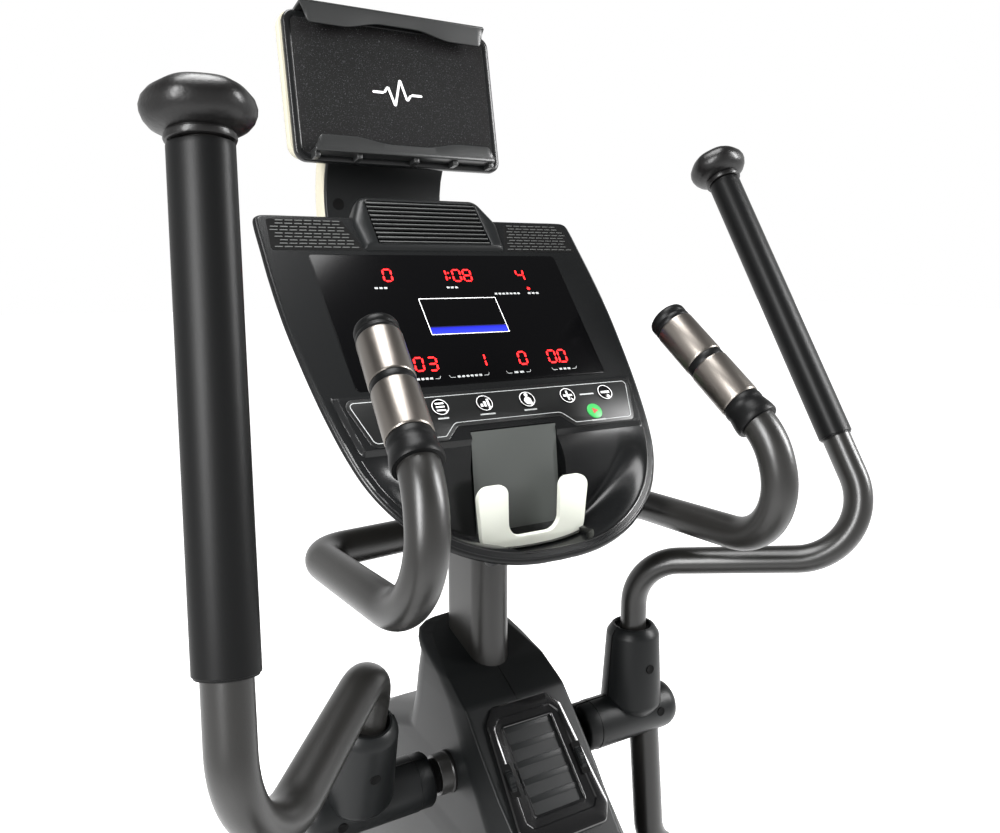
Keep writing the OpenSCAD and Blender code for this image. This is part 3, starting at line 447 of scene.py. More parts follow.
def swing(side):
    name = "left" if side < 0 else "right"
    place, body = at_swing(side), "swing_" + name
    up = unit(np.subtract(BAR[3], BAR[2]))
    path = dense(fillet_path(BAR, (52, 62)))
    piece("bar_" + name, tube(path, 33, 27, BEND_NORMAL, end=0.8), PAINT, body, "handlebar_" + name,
          place)
    top = np.array(BAR[3])
    low = top - up * FOAM_LEN
    u = np.array(BEND_NORMAL)
    foam = [tube(np.array([low + up * s for s in (0, 0.5, 2.5, 40, 150, 260, 296, 300)]), 40, 33, u, 64, 0.6)]
    foam.append(tube(np.array([low + up * s for s in (-1.5, 1.5)]), 37.6, 30.8, u, 64, 0.4))
    piece("foam_" + name, foam, FOAM, body, "foam_grip_" + name, place)
    cap = [(19.2, 0.2), (20.4, 0.8), (21.0, 2.2), (20.8, 4.4), (19.8, 5.0), (19.6, 5.8), (20.6, 6.4),
           (24.6, 7.6), (28.8, 10.0), (31.6, 13.2), (33.2, 17.2), (33.5, 20.6), (32.2, 25), (29.0, 29),
           (23.8, 32.4), (17.0, 34.8), (10.0, 36.2), (4, 36.8)]
    knob = moved(turned_part(cap, 96, (1, 0.9), knob_lobes), top - up * 1.0, up, u)
    piece("knob_" + name, knob, KNOB, body, "end_knob_" + name, place)

    # two-part covers: a cone round the bar and a sleeve round the axle, with a seam in the X-Z plane
    seam = lambda centre, depth: (lambda a, r, z: 1 - depth / max(r, 1) * (np.abs((a - centre + math.pi)
                                  % (2 * math.pi) - math.pi) < 0.03))
    cone = [(19, 4), (24.5, 4.5), (31.3, 14), (32.6, 17), (32.4, 19), (28.2, 92), (27.6, 94.5), (23.0, 101.5),
            (21.4, 102.6), (19.6, 102.4), (18.6, 100.5), (18.2, 95)]
    axis = np.array([0, -math.sin(LEAN), math.cos(LEAN)])
    covers = [moved(turned_part(cone, 240, (1, 1), seam(math.pi, 1.0)), (STUB_X, 0, 0), axis, (1, 0, 0))]
    sleeve = [(17, 88.6), (22, 88.2), (24.0, 89.0), (25.4, 91.2), (25.4, 104), (26, 104.6), (26, 196),
              (25.2, 201.5), (23.0, 206), (19.5, 209), (14, 210.6), (5, 211)]
    covers.append(moved(turned_part(sleeve, 240, (1, 1), seam(0, 0.8)), (0, 0, 0), (1, 0, 0), (0, 0, 1)))
    piece("joint_cover_" + name, covers, PLASTIC, body, "joint_cover_" + name, place)
    # Painted shade: the black cups in the screw holes, the thin black lines along the cover seams and the black
    # ring in the gap at the cone's top stand for the shade in those holes and gaps.
    hole = [(4.9, -2), (4.9, 0.3), (4.4, 0.6), (4.0, 0.35), (0.2, 0.35)]
    spot = np.array([STUB_X, 0, 0]) + axis * 58 + np.array([0, -30.4, 0])
    spots = [moved(turned_part(hole, 32), spot, (0, -1, -0.06), (1, 0, 0)),
             moved(turned_part(hole, 32), (182, -25.9, 2), (0, -1, 0), (1, 0, 0))]
    piece("screw_hole_shade_" + name, spots, BLACK_AND_SHADE, body, None, place)
    gap = [(17.4, 96), (19.2, 96.4), (19.2, 99), (17.2, 99.2)]
    lines = [tube(np.array([(STUB_X, 0, 0) + axis * h + np.array([-r - 0.1, 0, 0]) for h, r in
                            ((19, 32.4), (92, 28.2), (100, 24.5))]), 1.0, 1.0, (0, 1, 0), 8, 0),
             tube(np.array([(91, 0, 25.5), (104, 0, 26), (150, 0, 26.05)]), 1.0, 1.0, (0, 1, 0), 8, 0)]
    piece("seam_shade_lines_" + name, lines, BLACK_AND_SHADE, body, None, place)
    piece("cone_gap_shade_" + name, moved(turned_part(gap, 72), (STUB_X, 0, 0), axis, (1, 0, 0)), BLACK_AND_SHADE, body,
          None, place)

    low_path = dense(fillet_path([(178, 0, -10), (178, 0, -148), (252, 0, -222), (252, 0, -628)], 45))
    eye = [(9, 0), (17, 0.2), (18, 1.2), (18, 38.8), (17, 39.8), (9, 40)]
    hub = [(10.2, 0), (18.6, 0.3), (19, 1), (19, 112), (10.2, 112.6)]
    arm = [tube(low_path, 32, 32, (0, 1, 0), end=0.5),
           moved(turned_part(eye, 64), (232, 0, -SWING_LEN), (1, 0, 0)),
           moved(turned_part(hub, 64), (92, 0, 0), (1, 0, 0))]
    piece("lower_arm_" + name, arm, PAINT, body, "swing_arm_" + name, place)
    washers = [moved(turned_part([(4, 0), (15.5, 0.2), (16, 0.8), (16, 7), (15, 8), (4, 8)], 48), (79.5, 0, 0),
                     (1, 0, 0))]
    piece("axle_washer_" + name, washers, BLACK_AND_SHADE, "frame", None,
          turned(PIVOT_CENTRE, 0, side))


for s in (-1, 1):
    swing(s)

axle = [moved(turned_part([(2, 0), (9, 0), (9.9, 0.8), (9.9, 409.2), (9, 410), (2, 410)], 48), (-205, *PIVOT),
              (1, 0, 0))]
for s in (-1, 1):
    axle.append(moved(turned_part([(2, 0), (20, 0), (20, 11), (18.6, 12.6), (11.5, 13), (11, 8), (2, 8)], 64),
                      (s * 56, *PIVOT), (s, 0, 0)))
piece("axle", axle, KNOB, "frame", "pivot_axle")

# ---------------------------------------------------------------- fixed handlebar and pulse grips

bars, grips, plates = [], [], []
for s in (-1, 1):
    p = [(0, 345, 1222), (s * 179, 310, 1228), (s * 176, 78.4, 1236.5), (s * 167.6, 103.4, 1333.6),
         (s * 150, 225, 1433)]
    bars.append(tube(dense(fillet_path(p, (40, 60, 66))), 31.8, 31.8, (0, 0, 1), end=1))
    tip, axis = np.array(p[4], float), unit(np.subtract(p[4], p[3]))

    def along(profile, n=96, lobes=None):
        return moved(turned_part(profile, n, (1, 1), lobes), tip, -axis, (1, 0, 0))

    grips.append(along([(1, -1), (12, -1), (15.5, -0.4), (17.4, 1.0), (18.3, 3.2), (18.3, 7.4), (17.6, 8.4),
                        (17.6, 9.6), (18.3, 10.6), (18.3, 13), (17.7, 14), (17.6, 60.6), (18.1, 61.6),
                        (18.1, 67.4), (17.6, 68.4), (17.6, 114.6), (17.9, 116), (18.5, 118), (18.5, 121),
                        (18.0, 123), (18.6, 126), (19.4, 130), (20.0, 134), (20.0, 138), (19.2, 139.6),
                        (16.4, 140)]))
    for z0 in (14.5, 68):
        z1 = z0 + 46.5
        plates.append(along([(17.5, z0), (18.2, z0 + 0.2), (18.6, z0 + 0.9), (18.75, z0 + 2), (18.75, z1 - 2),
                             (18.6, z1 - 0.9), (18.2, z1 - 0.2), (17.5, z1)]))
piece("fixed_bars", bars, PAINT, "frame", "fixed_handlebar")
piece("pulse_sleeves", grips, FOAM, "frame", "pulse_grips")
piece("pulse_metal", plates, SILVER, "frame", "pulse_plates")

# ---------------------------------------------------------------- mast and drive cover


def stadium(w, d, n=40):
    """Outline of two half circles of diameter w joined by straights, d long in y."""
    k = (d - w) / 2
    ends = []
    for start, shift in ((0, k), (math.pi, -k)):
        a = np.linspace(start, start + math.pi, n)
        ends.append(np.column_stack([np.cos(a) * w / 2, np.sin(a) * w / 2 + shift]))
    return np.concatenate(ends)


mast_ring = stadium(40, 82) + (0, 330)
boss = [(10.2, 0), (18.6, 0.3), (19, 1), (19, 159), (18.6, 159.7), (10.2, 160)]
piece("mast_tube", [slab(mast_ring, [(0.5, 72), (0, 72.5), (0, 1299), (0.5, 1299.5)]),
                    moved(turned_part(boss, 64), (-80, *PIVOT), (1, 0, 0))],
      PAINT, "frame", "mast")

# half width and side outline of the cover: stations run down the front of the machine from the collar
COVER = np.array([
    # height, rear y, front y, half width of the rear facet, half width, depth of the side facet
    [74, 150, 690, 46, 72, 30], [120, 132, 752, 46, 74.5, 30], [200, 127, 786, 46, 75, 30],
    [400, 122.5, 791.5, 46, 75, 30], [620, 120, 762, 46, 75, 30], [760, 119, 700, 46, 74.6, 30],
    [860, 118.6, 628, 47, 72, 30], [905, 119.5, 590, 48, 70, 30], [930, 124, 560, 49, 69, 30],
    [943, 130, 538, 50, 68, 29], [954, 140, 516, 50, 67, 29], [976, 162, 480, 51, 66, 28],
    [992, 178, 440, 53, 65.4, 27], [1009, 195, 398, 55, 64.5, 26], [1041, 227, 389, 56, 62.5, 24],
    [1069, 254.5, 386, 56, 60.5, 21], [1072, 260, 385.6, 56, 60.2, 20], [1078, 272, 385, 55.6, 59.6, 18],
    [1087, 290, 384, 55, 58.5, 16], [1095, 316, 383, 50, 56.5, 14], [1101, 335.6, 382, 46, 53.5, 12],
    [1107, 355, 380.5, 41, 48, 9], [1111, 368, 379.5, 29, 38, 5], [1112.5, 373, 379, 17, 28, 3],
    [1113.5, 376.5, 378.6, 4, 12, 1]])


def cover_shell(side):
    """Half of the cover: at each height, points from the rear centre line round the side to the front."""
    z = np.concatenate([np.linspace(74, 900, 50), np.linspace(904, 1100, 90), np.linspace(1100.5, 1113.5, 40)])
    rings = []
    for h in z:
        rear, front, f, half, back = (np.interp(h, COVER[:, 0], c) for c in COVER[:, 1:].T)
        run = min(30, (front - rear - back) * 0.5)
        pts = [(0, rear, 0), (f, rear, 2.5), (half, rear + back, 9), (half, front - run, 26),
               (half * 0.45, front, 18), (0, front, 0)]
        out = [np.array(pts[0][:2], float)]
        for i in range(1, 5):
            a, b = np.array(pts[i - 1][:2]), np.array(pts[i + 1][:2])
            c = np.array(pts[i][:2])
            r = min(pts[i][2], 0.45 * np.linalg.norm(a - c), 0.45 * np.linalg.norm(b - c))
            out += list(arc_n(c, a, b, r, 7))
        out.append(np.array(pts[5][:2], float))
        q = np.array(out)
        rings.append(np.column_stack([side * q[:, 0], q[:, 1], np.full(len(q), h)]))
    return loft(rings, close=False, caps=(False, False))


def arc_n(p, a, b, r, n):
    """n + 1 points rounding corner p by cutting back r along both edges, as a quadratic curve."""
    d1, d2 = unit(a - p), unit(b - p)
    s, e = p + d1 * r, p + d2 * r
    t = np.linspace(0, 1, n + 1)[:, None]
    return (1 - t) ** 2 * s + 2 * t * (1 - t) * p + t * t * e


for s in (-1, 1):
    n = "left" if s < 0 else "right"
    piece("cover_skin_" + n, cover_shell(s), PLASTIC, "frame", "cover_" + n, angle=24)
# The centre seam is a thin black tube lying on the cover: painted shade in the gap between the two halves.
seam_path = [(0, 292, 1087.6), (0, 272, 1078.2), (0, 257, 1070.4), (0, 250, 1064.2)]
piece("cover_seam", tube(dense(np.array(seam_path, float), 6), 1.0, 1.2, (1, 0, 0), 10, 0), BLACK_AND_SHADE, "frame")

# ---------------------------------------------------------------- vent

bez = rounded(both_sides([(40, -66, 7), (49, -50, 5), (42, 48, 5), (30, 62, 6)]))
win = rounded(both_sides([(26.5, -40.5, 1.2), (26.5, 40.5, 1.2)]))


def match(outline, count):
    """count points evenly along a closed outline, from its start."""
    q = np.vstack([outline, outline[:1]])
    s = np.concatenate([[0], np.cumsum(np.linalg.norm(np.diff(q, axis=0), axis=1))])
    t = np.linspace(0, s[-1], count, endpoint=False)
    return np.column_stack([np.interp(t, s, q[:, 0]), np.interp(t, s, q[:, 1])])


def by_angle(outline, count):
    """count points of a star-shaped outline, where rays at even angles from the origin meet it."""
    q = match(outline, 4000)
    a = np.arctan2(q[:, 1], q[:, 0])
    order = np.argsort(a)
    a, q = a[order], q[order]
    t = np.linspace(-math.pi, math.pi, count, endpoint=False)
    return np.column_stack([np.interp(t, a, q[:, 0], period=2 * math.pi),
                            np.interp(t, a, q[:, 1], period=2 * math.pi)])


def bands(levels, count=480):
    """Loft of (outline, inset, height) levels joined ray by ray from the middle."""
    rings = []
    for o, t, z in levels:
        q = by_angle(inset(o, t), count)
        rings.append(np.column_stack([q, np.full(count, z)]))
    return loft(rings, caps=(False, False))


edge = rounded(both_sides([(33, -51, 4), (39, -44, 4), (36, 42, 4), (29, 50, 4)]))
piece("vent_frame", [bands([(bez, 0, -3), (bez, 0, 3.0), (bez, 1.2, 4.2), (bez, 4.5, 4.6), (edge, 0, 4.2),
                            (edge, 1.0, 2.6), (win, -2.6, 2.2), (win, -1.6, 3.4), (win, -0.6, 3.4),
                            (win, 0, 2.8), (win, 0, -14)])],
      GLOSS, "frame", "vent_bezel", VENT, angle=28)
# A flat black sheet down in the window: painted shade of the dark inside of the vent.
piece("vent_shade_floor", flat(inset(win, -1), -13), BLACK_AND_SHADE, "frame", None, VENT)
BLADES, WINDOW_LEN, BLADE_TURN, BLADE_DEPTH = 5, 81, math.radians(28), -3
blade_top = [(t * 8.6, 3.2 * math.cos(t * 1.35) - 1.2) for t in np.linspace(-1, 1, 9)]
blade = np.array(blade_top + [(u, w - 1.6) for u, w in reversed(blade_top)])
blade = np.column_stack([blade[:, 0] * math.cos(BLADE_TURN) - blade[:, 1] * math.sin(BLADE_TURN),
                         blade[:, 0] * math.sin(BLADE_TURN) + blade[:, 1] * math.cos(BLADE_TURN)])
for i in range(BLADES):
    centre = ((i - 2) * WINDOW_LEN / BLADES, BLADE_DEPTH)
    rings = [np.column_stack([np.full(len(blade), x), blade * k + centre])
             for x, k in ((-25.9, 0.97), (-25.5, 1), (25.5, 1), (25.9, 0.97))]
    node = "louver_%d" % (i + 1)
    piece("louver_blade_%d" % (i + 1), loft(rings), PLASTIC, node, node, VENT)
for s in (-1, 1):
    n = "left" if s < 0 else "right"
    teeth = lambda a, r, z: 1 - 0.05 * (np.cos(28 * a) > 0.2) * (r > 10)
    w = turned_part([(3, -3), (12.4, -3), (14, -2.4), (14, 2.4), (12.4, 3), (3, 3)], 168, (1, 1), teeth)
    # Each slot is a flat black shape laid on the bezel round its wheel: painted shade of the opening.
    slot = rect(s * 39 - 4.6, s * 39 + 4.6, -21, 9, 1.5)
    piece("thumb_slot_shade_" + n, flat(slot, 4.75), BLACK_AND_SHADE, "frame", None, VENT)
    piece("thumb_" + n, moved(w, (s * 39, -6, -5), (1, 0, 0), (0, 1, 0)), PLASTIC, "thumbwheel_" + n,
          "thumbwheel_" + n, VENT)

# ---------------------------------------------------------------- console

RIM = np.array([(0, 346), (24, 345.2), (46, 342.2), (68, 336), (90, 326), (112, 311), (131, 292.5), (146, 270),
                (156, 248), (163, 224), (168.5, 198), (173.5, 168), (178.5, 128), (183, 80), (184.6, 30),
                (184.4, -10), (184, -40), (182.4, -48.5), (177.5, -52.4), (168, -53.4), (140, -53.4),
                (0, -53.4)], float)


def catmull(points, per):
    """Curve through the points, each span cut into per pieces, with neighbours' differences as tangents."""
    p = np.vstack([2 * points[0] - points[1], points, 2 * points[-1] - points[-2]])
    t = np.linspace(0, 1, per, endpoint=False)[:, None]
    out = []
    for i in range(1, len(p) - 2):
        a, b, c, d = p[i - 1:i + 3]
        k = np.linalg.norm(c - b)
        m1 = (c - a) / (np.linalg.norm(c - b) + np.linalg.norm(b - a)) * k
        m2 = (d - b) / (np.linalg.norm(d - c) + k) * k
        out.append((2 * t**3 - 3 * t**2 + 1) * b + (t**3 - 2 * t**2 + t) * m1 + (-2 * t**3 + 3 * t**2) * c
                   + (t**3 - t**2) * m2)
    return np.vstack([*out, points[-1:]])


rim_half = catmull(RIM[:-1], 14)
rim_half = np.vstack([rim_half, RIM[-1:]])
rim_loop = np.vstack([rim_half * (1, -1), (rim_half * (-1, -1))[::-1][:-1]])
keep = np.concatenate([[True], np.linalg.norm(np.diff(rim_loop, axis=0), axis=1) > 0.2])
rim_loop = anticlockwise(rim_loop[keep])


# The console's middle down the slope, and the mean of its half sizes, which its rear tapers towards
MIDDLE_V, MEAN_HALF = -146, 190


def rim_distance(x, s):
    """Distance in from the console's outline, for points (x, s) with s down the slope."""
    a, b = rim_half[:-1], rim_half[1:]
    p = np.stack([np.abs(x), s], -1).reshape(-1, 1, 2)
    best = np.full(len(p), 1e9)
    for lo in range(0, len(a), 64):
        aa, bb = a[lo:lo + 64], b[lo:lo + 64]
        e = bb - aa
        t = np.clip(((p - aa) * e).sum(-1) / (e * e).sum(-1), 0, 1)
        best = np.minimum(best, np.linalg.norm(p - aa - t[..., None] * e, axis=-1).min(1))
    return best.reshape(np.shape(x))


def face_height(x, s, middle):
    """Height of the console's front at x across and s down the slope.

    It is flat round the lens, with a raised keypad ledge, a deep bowl inside the rim and the phone recess
    between its walls.
    """
    d = rim_distance(x, s)
    edge_r = 4.0
    h = -(edge_r - np.sqrt(np.maximum(edge_r**2 - np.maximum(edge_r - d, 0) ** 2, 0)))
    lip = smooth((d - 3.0) / 1.2) * 0.8
    h = h + lip
    ledge = 5.0 * smooth((s - 165) / 3.5) * smooth((d - 11) / 4) * (1 - smooth((s - 222) / 3.5))
    field = ledge - 42 * smooth((s - 222) / 84) * smooth((d - 9) / 34)
    plate = np.minimum(145 - 0.66 * s, 5)
    deep = np.maximum(plate, -47 * (1 - smooth((s - 324) / 12)))
    field = np.where(middle & (s > 213), np.where(s < 336, np.minimum(field, deep), field), field)
    return h + field


def recess_half(s):
    return 45 + 6.5 * smooth((s - 213) / 40) - 3 * smooth((s - 285) / 40)


def console_front():
    """Grid whose rows run across the outline and whose columns follow the outline and the recess walls."""
    rows = rim_half[::-1]
    dense_rows = [rows[0]]
    for a, b in zip(rows[:-1], rows[1:]):
        m = max(1, int(abs(b[1] - a[1]) / 1.6))
        if abs(b[1] - a[1]) > 0.05:
            dense_rows += [a + (b - a) * i / m for i in range(1, m + 1)]
    rows = np.array([r for r in dense_rows if r[0] > 0.4])
    w, s = rows[:, 0], rows[:, 1]
    first = np.argmax(w > 100)
    w, s = np.concatenate([[w[first]], w[first:]]), np.concatenate([[-53.4], s[first:]])
    e = np.minimum(recess_half(s), w * 0.5)
    outer = np.concatenate([np.linspace(0, 0.62, 46)[:-1], np.linspace(0.62, 1, 64)])
    columns, middle = [], []
    t_in = np.linspace(-1, 1, 41)
    for side in (-1, 0, 1):
        if side == 0:
            columns.append(e[:, None] * t_in[None, :])
            middle.append(np.ones((len(s), 41), bool))
        else:
            c = e[:, None] + 0.25 + (w - e - 0.25)[:, None] * outer[None, :]
            columns.append(side * (c if side > 0 else c[:, ::-1]))
            middle.append(np.zeros((len(s), len(outer)), bool))
    x, mid = np.concatenate(columns, 1), np.concatenate(middle, 1)
    ss = np.repeat(s[:, None], x.shape[1], 1)
    h = face_height(x, ss, mid)
    return loft(np.stack([x, -ss, h], -1), close=False, caps=(False, False))


def console():
    side_wall = loft([np.column_stack([inset(rim_loop, t), np.full(len(rim_loop), z)])
                      for t, z in ((0, -3.2), (0.2, -4.4), (1.4, -6), (6, -10.5), (24, -27), (34, -40))],
                     caps=(False, False))
    piece("console_front", [console_front(), side_wall], SATIN, "frame", "console_face", FACE,
          angle=32)
    outline = anticlockwise(match(rim_loop, 260))
    rings = []
    for t, z in ((25, -26.5), (44, -58), (50, -70), (60, -80), (74, -86)):
        k = 1 - t / MEAN_HALF
        rings.append(np.column_stack([outline[:, 0] * k, (outline[:, 1] - MIDDLE_V) * k + MIDDLE_V,
                                      np.full(len(outline), z)]))
    piece("console_rear", loft(rings, caps=(False, True)), PLASTIC, "frame", "console_back",
          FACE)
    lens = rounded(both_sides([(137, -160, 5), (142, 0, 5)]))
    piece("lens_plate", slab(lens, bevelled(-1.5, 1.5, 0.5)), LENS, "frame", "display_lens",
          FACE)
    pad = anticlockwise(rounded([(-56, -208, 5), (56, -208, 5), (69, -221, 6), (141, -221, 9), (157, -171, 8),
                                 (-157, -171, 8), (-141, -221, 9), (-69, -221, 6)][::-1]))
    piece("keypad_film", slab(pad, bevelled(3, 6.6, 0.6)), PANEL, "frame", "keypad_panel", FACE)
    piece("keypad_line", frame_line(inset(pad, 3.6), 0.7, 6.72), PALE, "frame", None, FACE)
    line = inset(rim_loop, 9.5)
    line = line[line[:, 1] < -228]
    line = line[np.argsort(np.arctan2(line[:, 0], -line[:, 1] - 150))]
    piece("rim_line", tube(np.column_stack([line, np.full(len(line), 0.7)]), 1.6, 1.6, (0, 0, 1), 10, 0), GLOSS,
          "frame", None, FACE)


console()


def bar_box(x0, y0, x1, y1, w):
    """Flat strip of width w from one point to another, with pointed ends."""
    a, b = np.array([x0, y0], float), np.array([x1, y1], float)
    d = unit(b - a)
    n = np.array([-d[1], d[0]]) * w / 2
    k = d * w / 2
    return np.array([a, a + k - n, b - k - n, b, b - k + n, a + k + n])


SEGMENTS = {"a": ((0, 2), (1, 2)), "b": ((1, 2), (1, 1)), "c": ((1, 1), (1, 0)), "d": ((0, 0), (1, 0)),
            "e": ((0, 1), (0, 0)), "f": ((0, 2), (0, 1)), "g": ((0, 1), (1, 1))}
DIGITS = {"0": "abcdef", "1": "bc", "2": "abged", "3": "abgcd", "8": "abcdefg", "4": "fgbc", "6": "afgedc"}


def digit(char, cx, cy, w=8.6, h=7.4, t=1.9):
    """Seven-segment digit centred on (cx, cy), leaning slightly."""
    out = []
    for k in DIGITS[char]:
        (x0, y0), (x1, y1) = SEGMENTS[k]
        g = 0.09
        dx, dy = np.sign(x1 - x0) * g, np.sign(y1 - y0) * g
        p, q = (x0 + dx, y0 + dy), (x1 - dx, y1 - dy)
        pts = [((u_ - 0.5) * w + (v_ - 1) * 0.7 + cx, (v_ - 1) * h + cy) for u_, v_ in (p, q)]
        out.append(bar_box(*pts[0], *pts[1], t))
    return out


def lens_marks():
    z = 1.66
    red = []
    for text, x, y in (("0", -67.4, -26.9), ("1", -7.2, -27.4), ("0", 9.5, -27.6), ("8", 21.8, -27.6),
                       ("4", 86.4, -27.6), ("0", -68.6, -135), ("3", -54.6, -135.4), ("1", -1.8, -134.6),
                       ("0", 45.2, -135), ("0", 80.4, -135.2), ("0", 93, -135.4), ("0", -118, -134.6)):
        red += digit(text, x, y)
    for x, y, r in ((0.8, -24.2, 1.0), (0.4, -30.8, 1.0), (86.8, -142.4, 0.9), (89.7, -46.2, 1.9)):
        a = np.linspace(0, 2 * math.pi, 20, endpoint=False)
        red.append(np.column_stack([x + r * np.cos(a), y + r * np.sin(a)]))
    piece("readout", [flat(q, z) for q in red], RED, "frame", None, FACE)
    lcd = rect(-44, 44, -102, -57, 0.6)
    strips = [frame_line(lcd, 0.8, z)]
    piece("lcd_frame", strips, BRIGHT, "frame", None, FACE)
    glow = rect(-42.6, 42.6, -100.8, -92, 0.3)
    ends = FACE([(0, -98.5, z), (0, -92.2, z)])[:, 2] * MM
    piece("lcd_light", flat(glow, z - 0.04), glow_finish(*ends), "frame", None, FACE)
    pale = []
    for x, y, w in ((-79, -43, 15), (-1, -43.4, 14), (60.7, -52.6, 32), (92.9, -52.6, 15), (-20.6, -151.6, 28),
                    (34.7, -151.4, 13), (89.4, -151.2, 15), (-68, -151.6, 18)):
        n = max(2, int(w / 4.4))
        for i in range(n):
            cx = x - w / 2 + (i + 0.5) * w / n
            pale.append(rect(cx - w / n * 0.34, cx + w / n * 0.34, y - 1.15, y + 1.15, 0.3))
        if y < -100:
            for sg in (-1, 1):
                x0 = x + sg * (w / 2 + 1.4)
                pale.append(bar_box(x0, y - 0.6, x0 + sg * 5, y - 0.6, 0.55))
                pale.append(bar_box(x0 + sg * 5, y - 0.6, x0 + sg * 6.2, y + 2.2, 0.55))
    piece("lens_labels", [flat(q, z) for q in pale], PALE, "frame", None, FACE)


lens_marks()

BUTTONS = {"mode": (-67, -187), "program": (-21, -187), "body_fat": (26, -187), "plus": (73, -187),
           "minus": (119, -187), "start": (97, -207)}


def disc(cx, cy, r, n=28, ry=None):
    a = np.linspace(0, 2 * math.pi, n, endpoint=False)
    return np.column_stack([cx + r * np.cos(a), cy + (ry or r) * np.sin(a)])


def glyph(name):
    """Flat shapes of a button's sign about its centre."""
    if name == "plus":
        return [rect(-5.2, 5.2, -1.1, 1.1, 0.2), rect(-1.1, 1.1, -5.2, 5.2, 0.2)]
    if name == "minus":
        return [rect(-5.2, 5.2, -1.2, 1.2, 0.2)]
    if name == "body_fat":
        return [disc(0, 4.7, 2.0), disc(0, -1.6, 3.9, 28, 4.2)]
    if name == "mode":
        return [rect(-4.4, 4.4, y - 0.8, y + 0.8, 0.2) for y in (-3.6, 0, 3.6)]
    if name == "program":
        return [rect(x - 1.2, x + 1.2, -4, h, 0.2) for x, h in ((-3.6, -0.6), (0, 1.8), (3.6, 4.2))]
    return [np.array([(-2.6, -3.4), (4.0, 0), (-2.6, 3.4)])]


for key, (x, y) in BUTTONS.items():
    node = "button_" + key
    cap = turned_part([(8.4, 2), (8.4, 7.0), (8.2, 7.5), (7.4, 7.9), (0.3, 8.0)], 56)
    piece("cap_" + key, moved(cap, (x, y, 0)), GREEN if key == "start" else GLOSS, node, node,
          FACE)
    marks = [flat(q + (x, y), 8.12) for q in glyph(key)]
    if key != "start":
        marks.append(frame_line(disc(x, y, 8.3, 48), 0.7, 8.0))
    piece("sign_" + key, marks, DARK_RED if key == "start" else BRIGHT, node, None, FACE)
labels = [rect(x - w / 2, x + w / 2, y - 0.8, y + 0.8, 0.3)
          for x, y, w in ((-67, -198.4, 11), (-21, -198.4, 16), (26, -198.2, 14), (97, -186.6, 17),
                          (98, -217, 17))]
piece("keypad_labels", [flat(q, 6.72) for q in labels], PALE, "frame", None, FACE)

# speaker grilles: staggered dashes in a shallow field; the field is black as painted shade of a recessed panel,
# and the dashes are a lighter grey as painted highlight on their edges
dashes = []
for s in (-1, 1):
    field = rounded([(s * 95, 45, 3), (s * 81, 6, 3), (s * 175, 5.5, 3), (s * 172, 46, 3)][::s])
    piece("speaker_shade_field_%d" % (s + 2), slab(field, [(0, 0.1), (0, 0.8), (0.4, 1.1), (1.6, 1.1), (1.9, 0.95)]),
          BLACK_AND_SHADE, "frame", None, FACE)
    for row in range(9):
        y = 9.5 + row * 4.3
        x0, x1 = 86 + (y - 8) * 0.33, 172
        x = x0 + (2.6 if row % 2 else 0)
        while x + 7.5 < x1:
            a, b = sorted((s * x, s * (x + 7.6)))
            dashes.append(slab(rect(a, b, y - 0.5, y + 0.5, 0.4), [(0, 0.2), (0, 1.5), (0.2, 1.7)]))
            x += 9.6
piece("speaker_dashes", dashes, HIGHLIGHT_GREY, "frame", None, FACE)

# raised air vent above the lens
HOOD_MID = (0, 42)
hood = rounded([(-82, 5, 5), (82, 5, 5), (86, 44, 20), (70, 80, 16), (-70, 80, 16), (-86, 44, 20)], 6)
ribs_field = rounded([(-65.5, 12.5, 2), (65.5, 12.5, 2), (64.5, 71, 4), (-64.5, 71, 4)])
hood_levels = [(hood, 0, -60), (hood, 0, -6), (hood, 1.4, 1), (hood, 4, 4.2), (hood, 7, 5.4),
               (ribs_field, -1.6, 5.6), (ribs_field, -0.4, 5.0), (ribs_field, 0, 3.6), (ribs_field, 0, -4)]
hood_shell = bands([(outline - HOOD_MID, t, z) for outline, t, z in hood_levels], 600)
piece("hood", mapped(hood_shell, lambda p: p + (*HOOD_MID, 0)), PLASTIC, "frame", None, FACE)
# Flat black sheet under the ribs: painted shade in the gaps between them.
piece("hood_shade_floor", flat(ribs_field, -3.6), BLACK_AND_SHADE, "frame", None, FACE)
rib_rows = 15.2 + 5.95 * np.arange(10)
piece("hood_ribs", [slab(rect(-64.6, 64.6, y - 1.5, y + 1.5, 0.4), [(0, -4), (0, 3.4), (0.5, 4.4), (1.1, 4.7)])
                    for y in rib_rows], SATIN, "frame", None, FACE)
# Pale strips laid on the rib tops are painted highlights along the ribs' edges.
piece("hood_rib_highlights", [flat(rect(-64, 64, y - 0.45, y + 0.45, 0.2), 4.8) for y in rib_rows], HIGHLIGHT_GREY, "frame", None,
      FACE)

# phone holder: an upright U in front of the recess
u_out = rounded([(-60, 61, 11), (-28, 61, 9), (-27, 12, 14), (27, 12, 14), (28, 61, 9), (60, 61, 11),
                 (54, 0, 17), (-54, 0, 17)][::-1])
upright = lambda p: np.column_stack([p[:, 0], 226 + p[:, 2] * -1, 1230 + p[:, 1]])
piece("phone_hook", slab(anticlockwise(u_out), bevelled(-2.6, 3, 1.0)), WHITE, "frame", "phone_holder",
      upright)
plate_pts = [(-46, 259.2, 1334), (46, 259.2, 1334), (46, 247.5, 1228), (-46, 247.5, 1228)]
piece("recess_plate", (np.array(plate_pts, float), [[3, 2, 1, 0]]), PLATE_GREY, "frame")

# ---------------------------------------------------------------- tablet holder

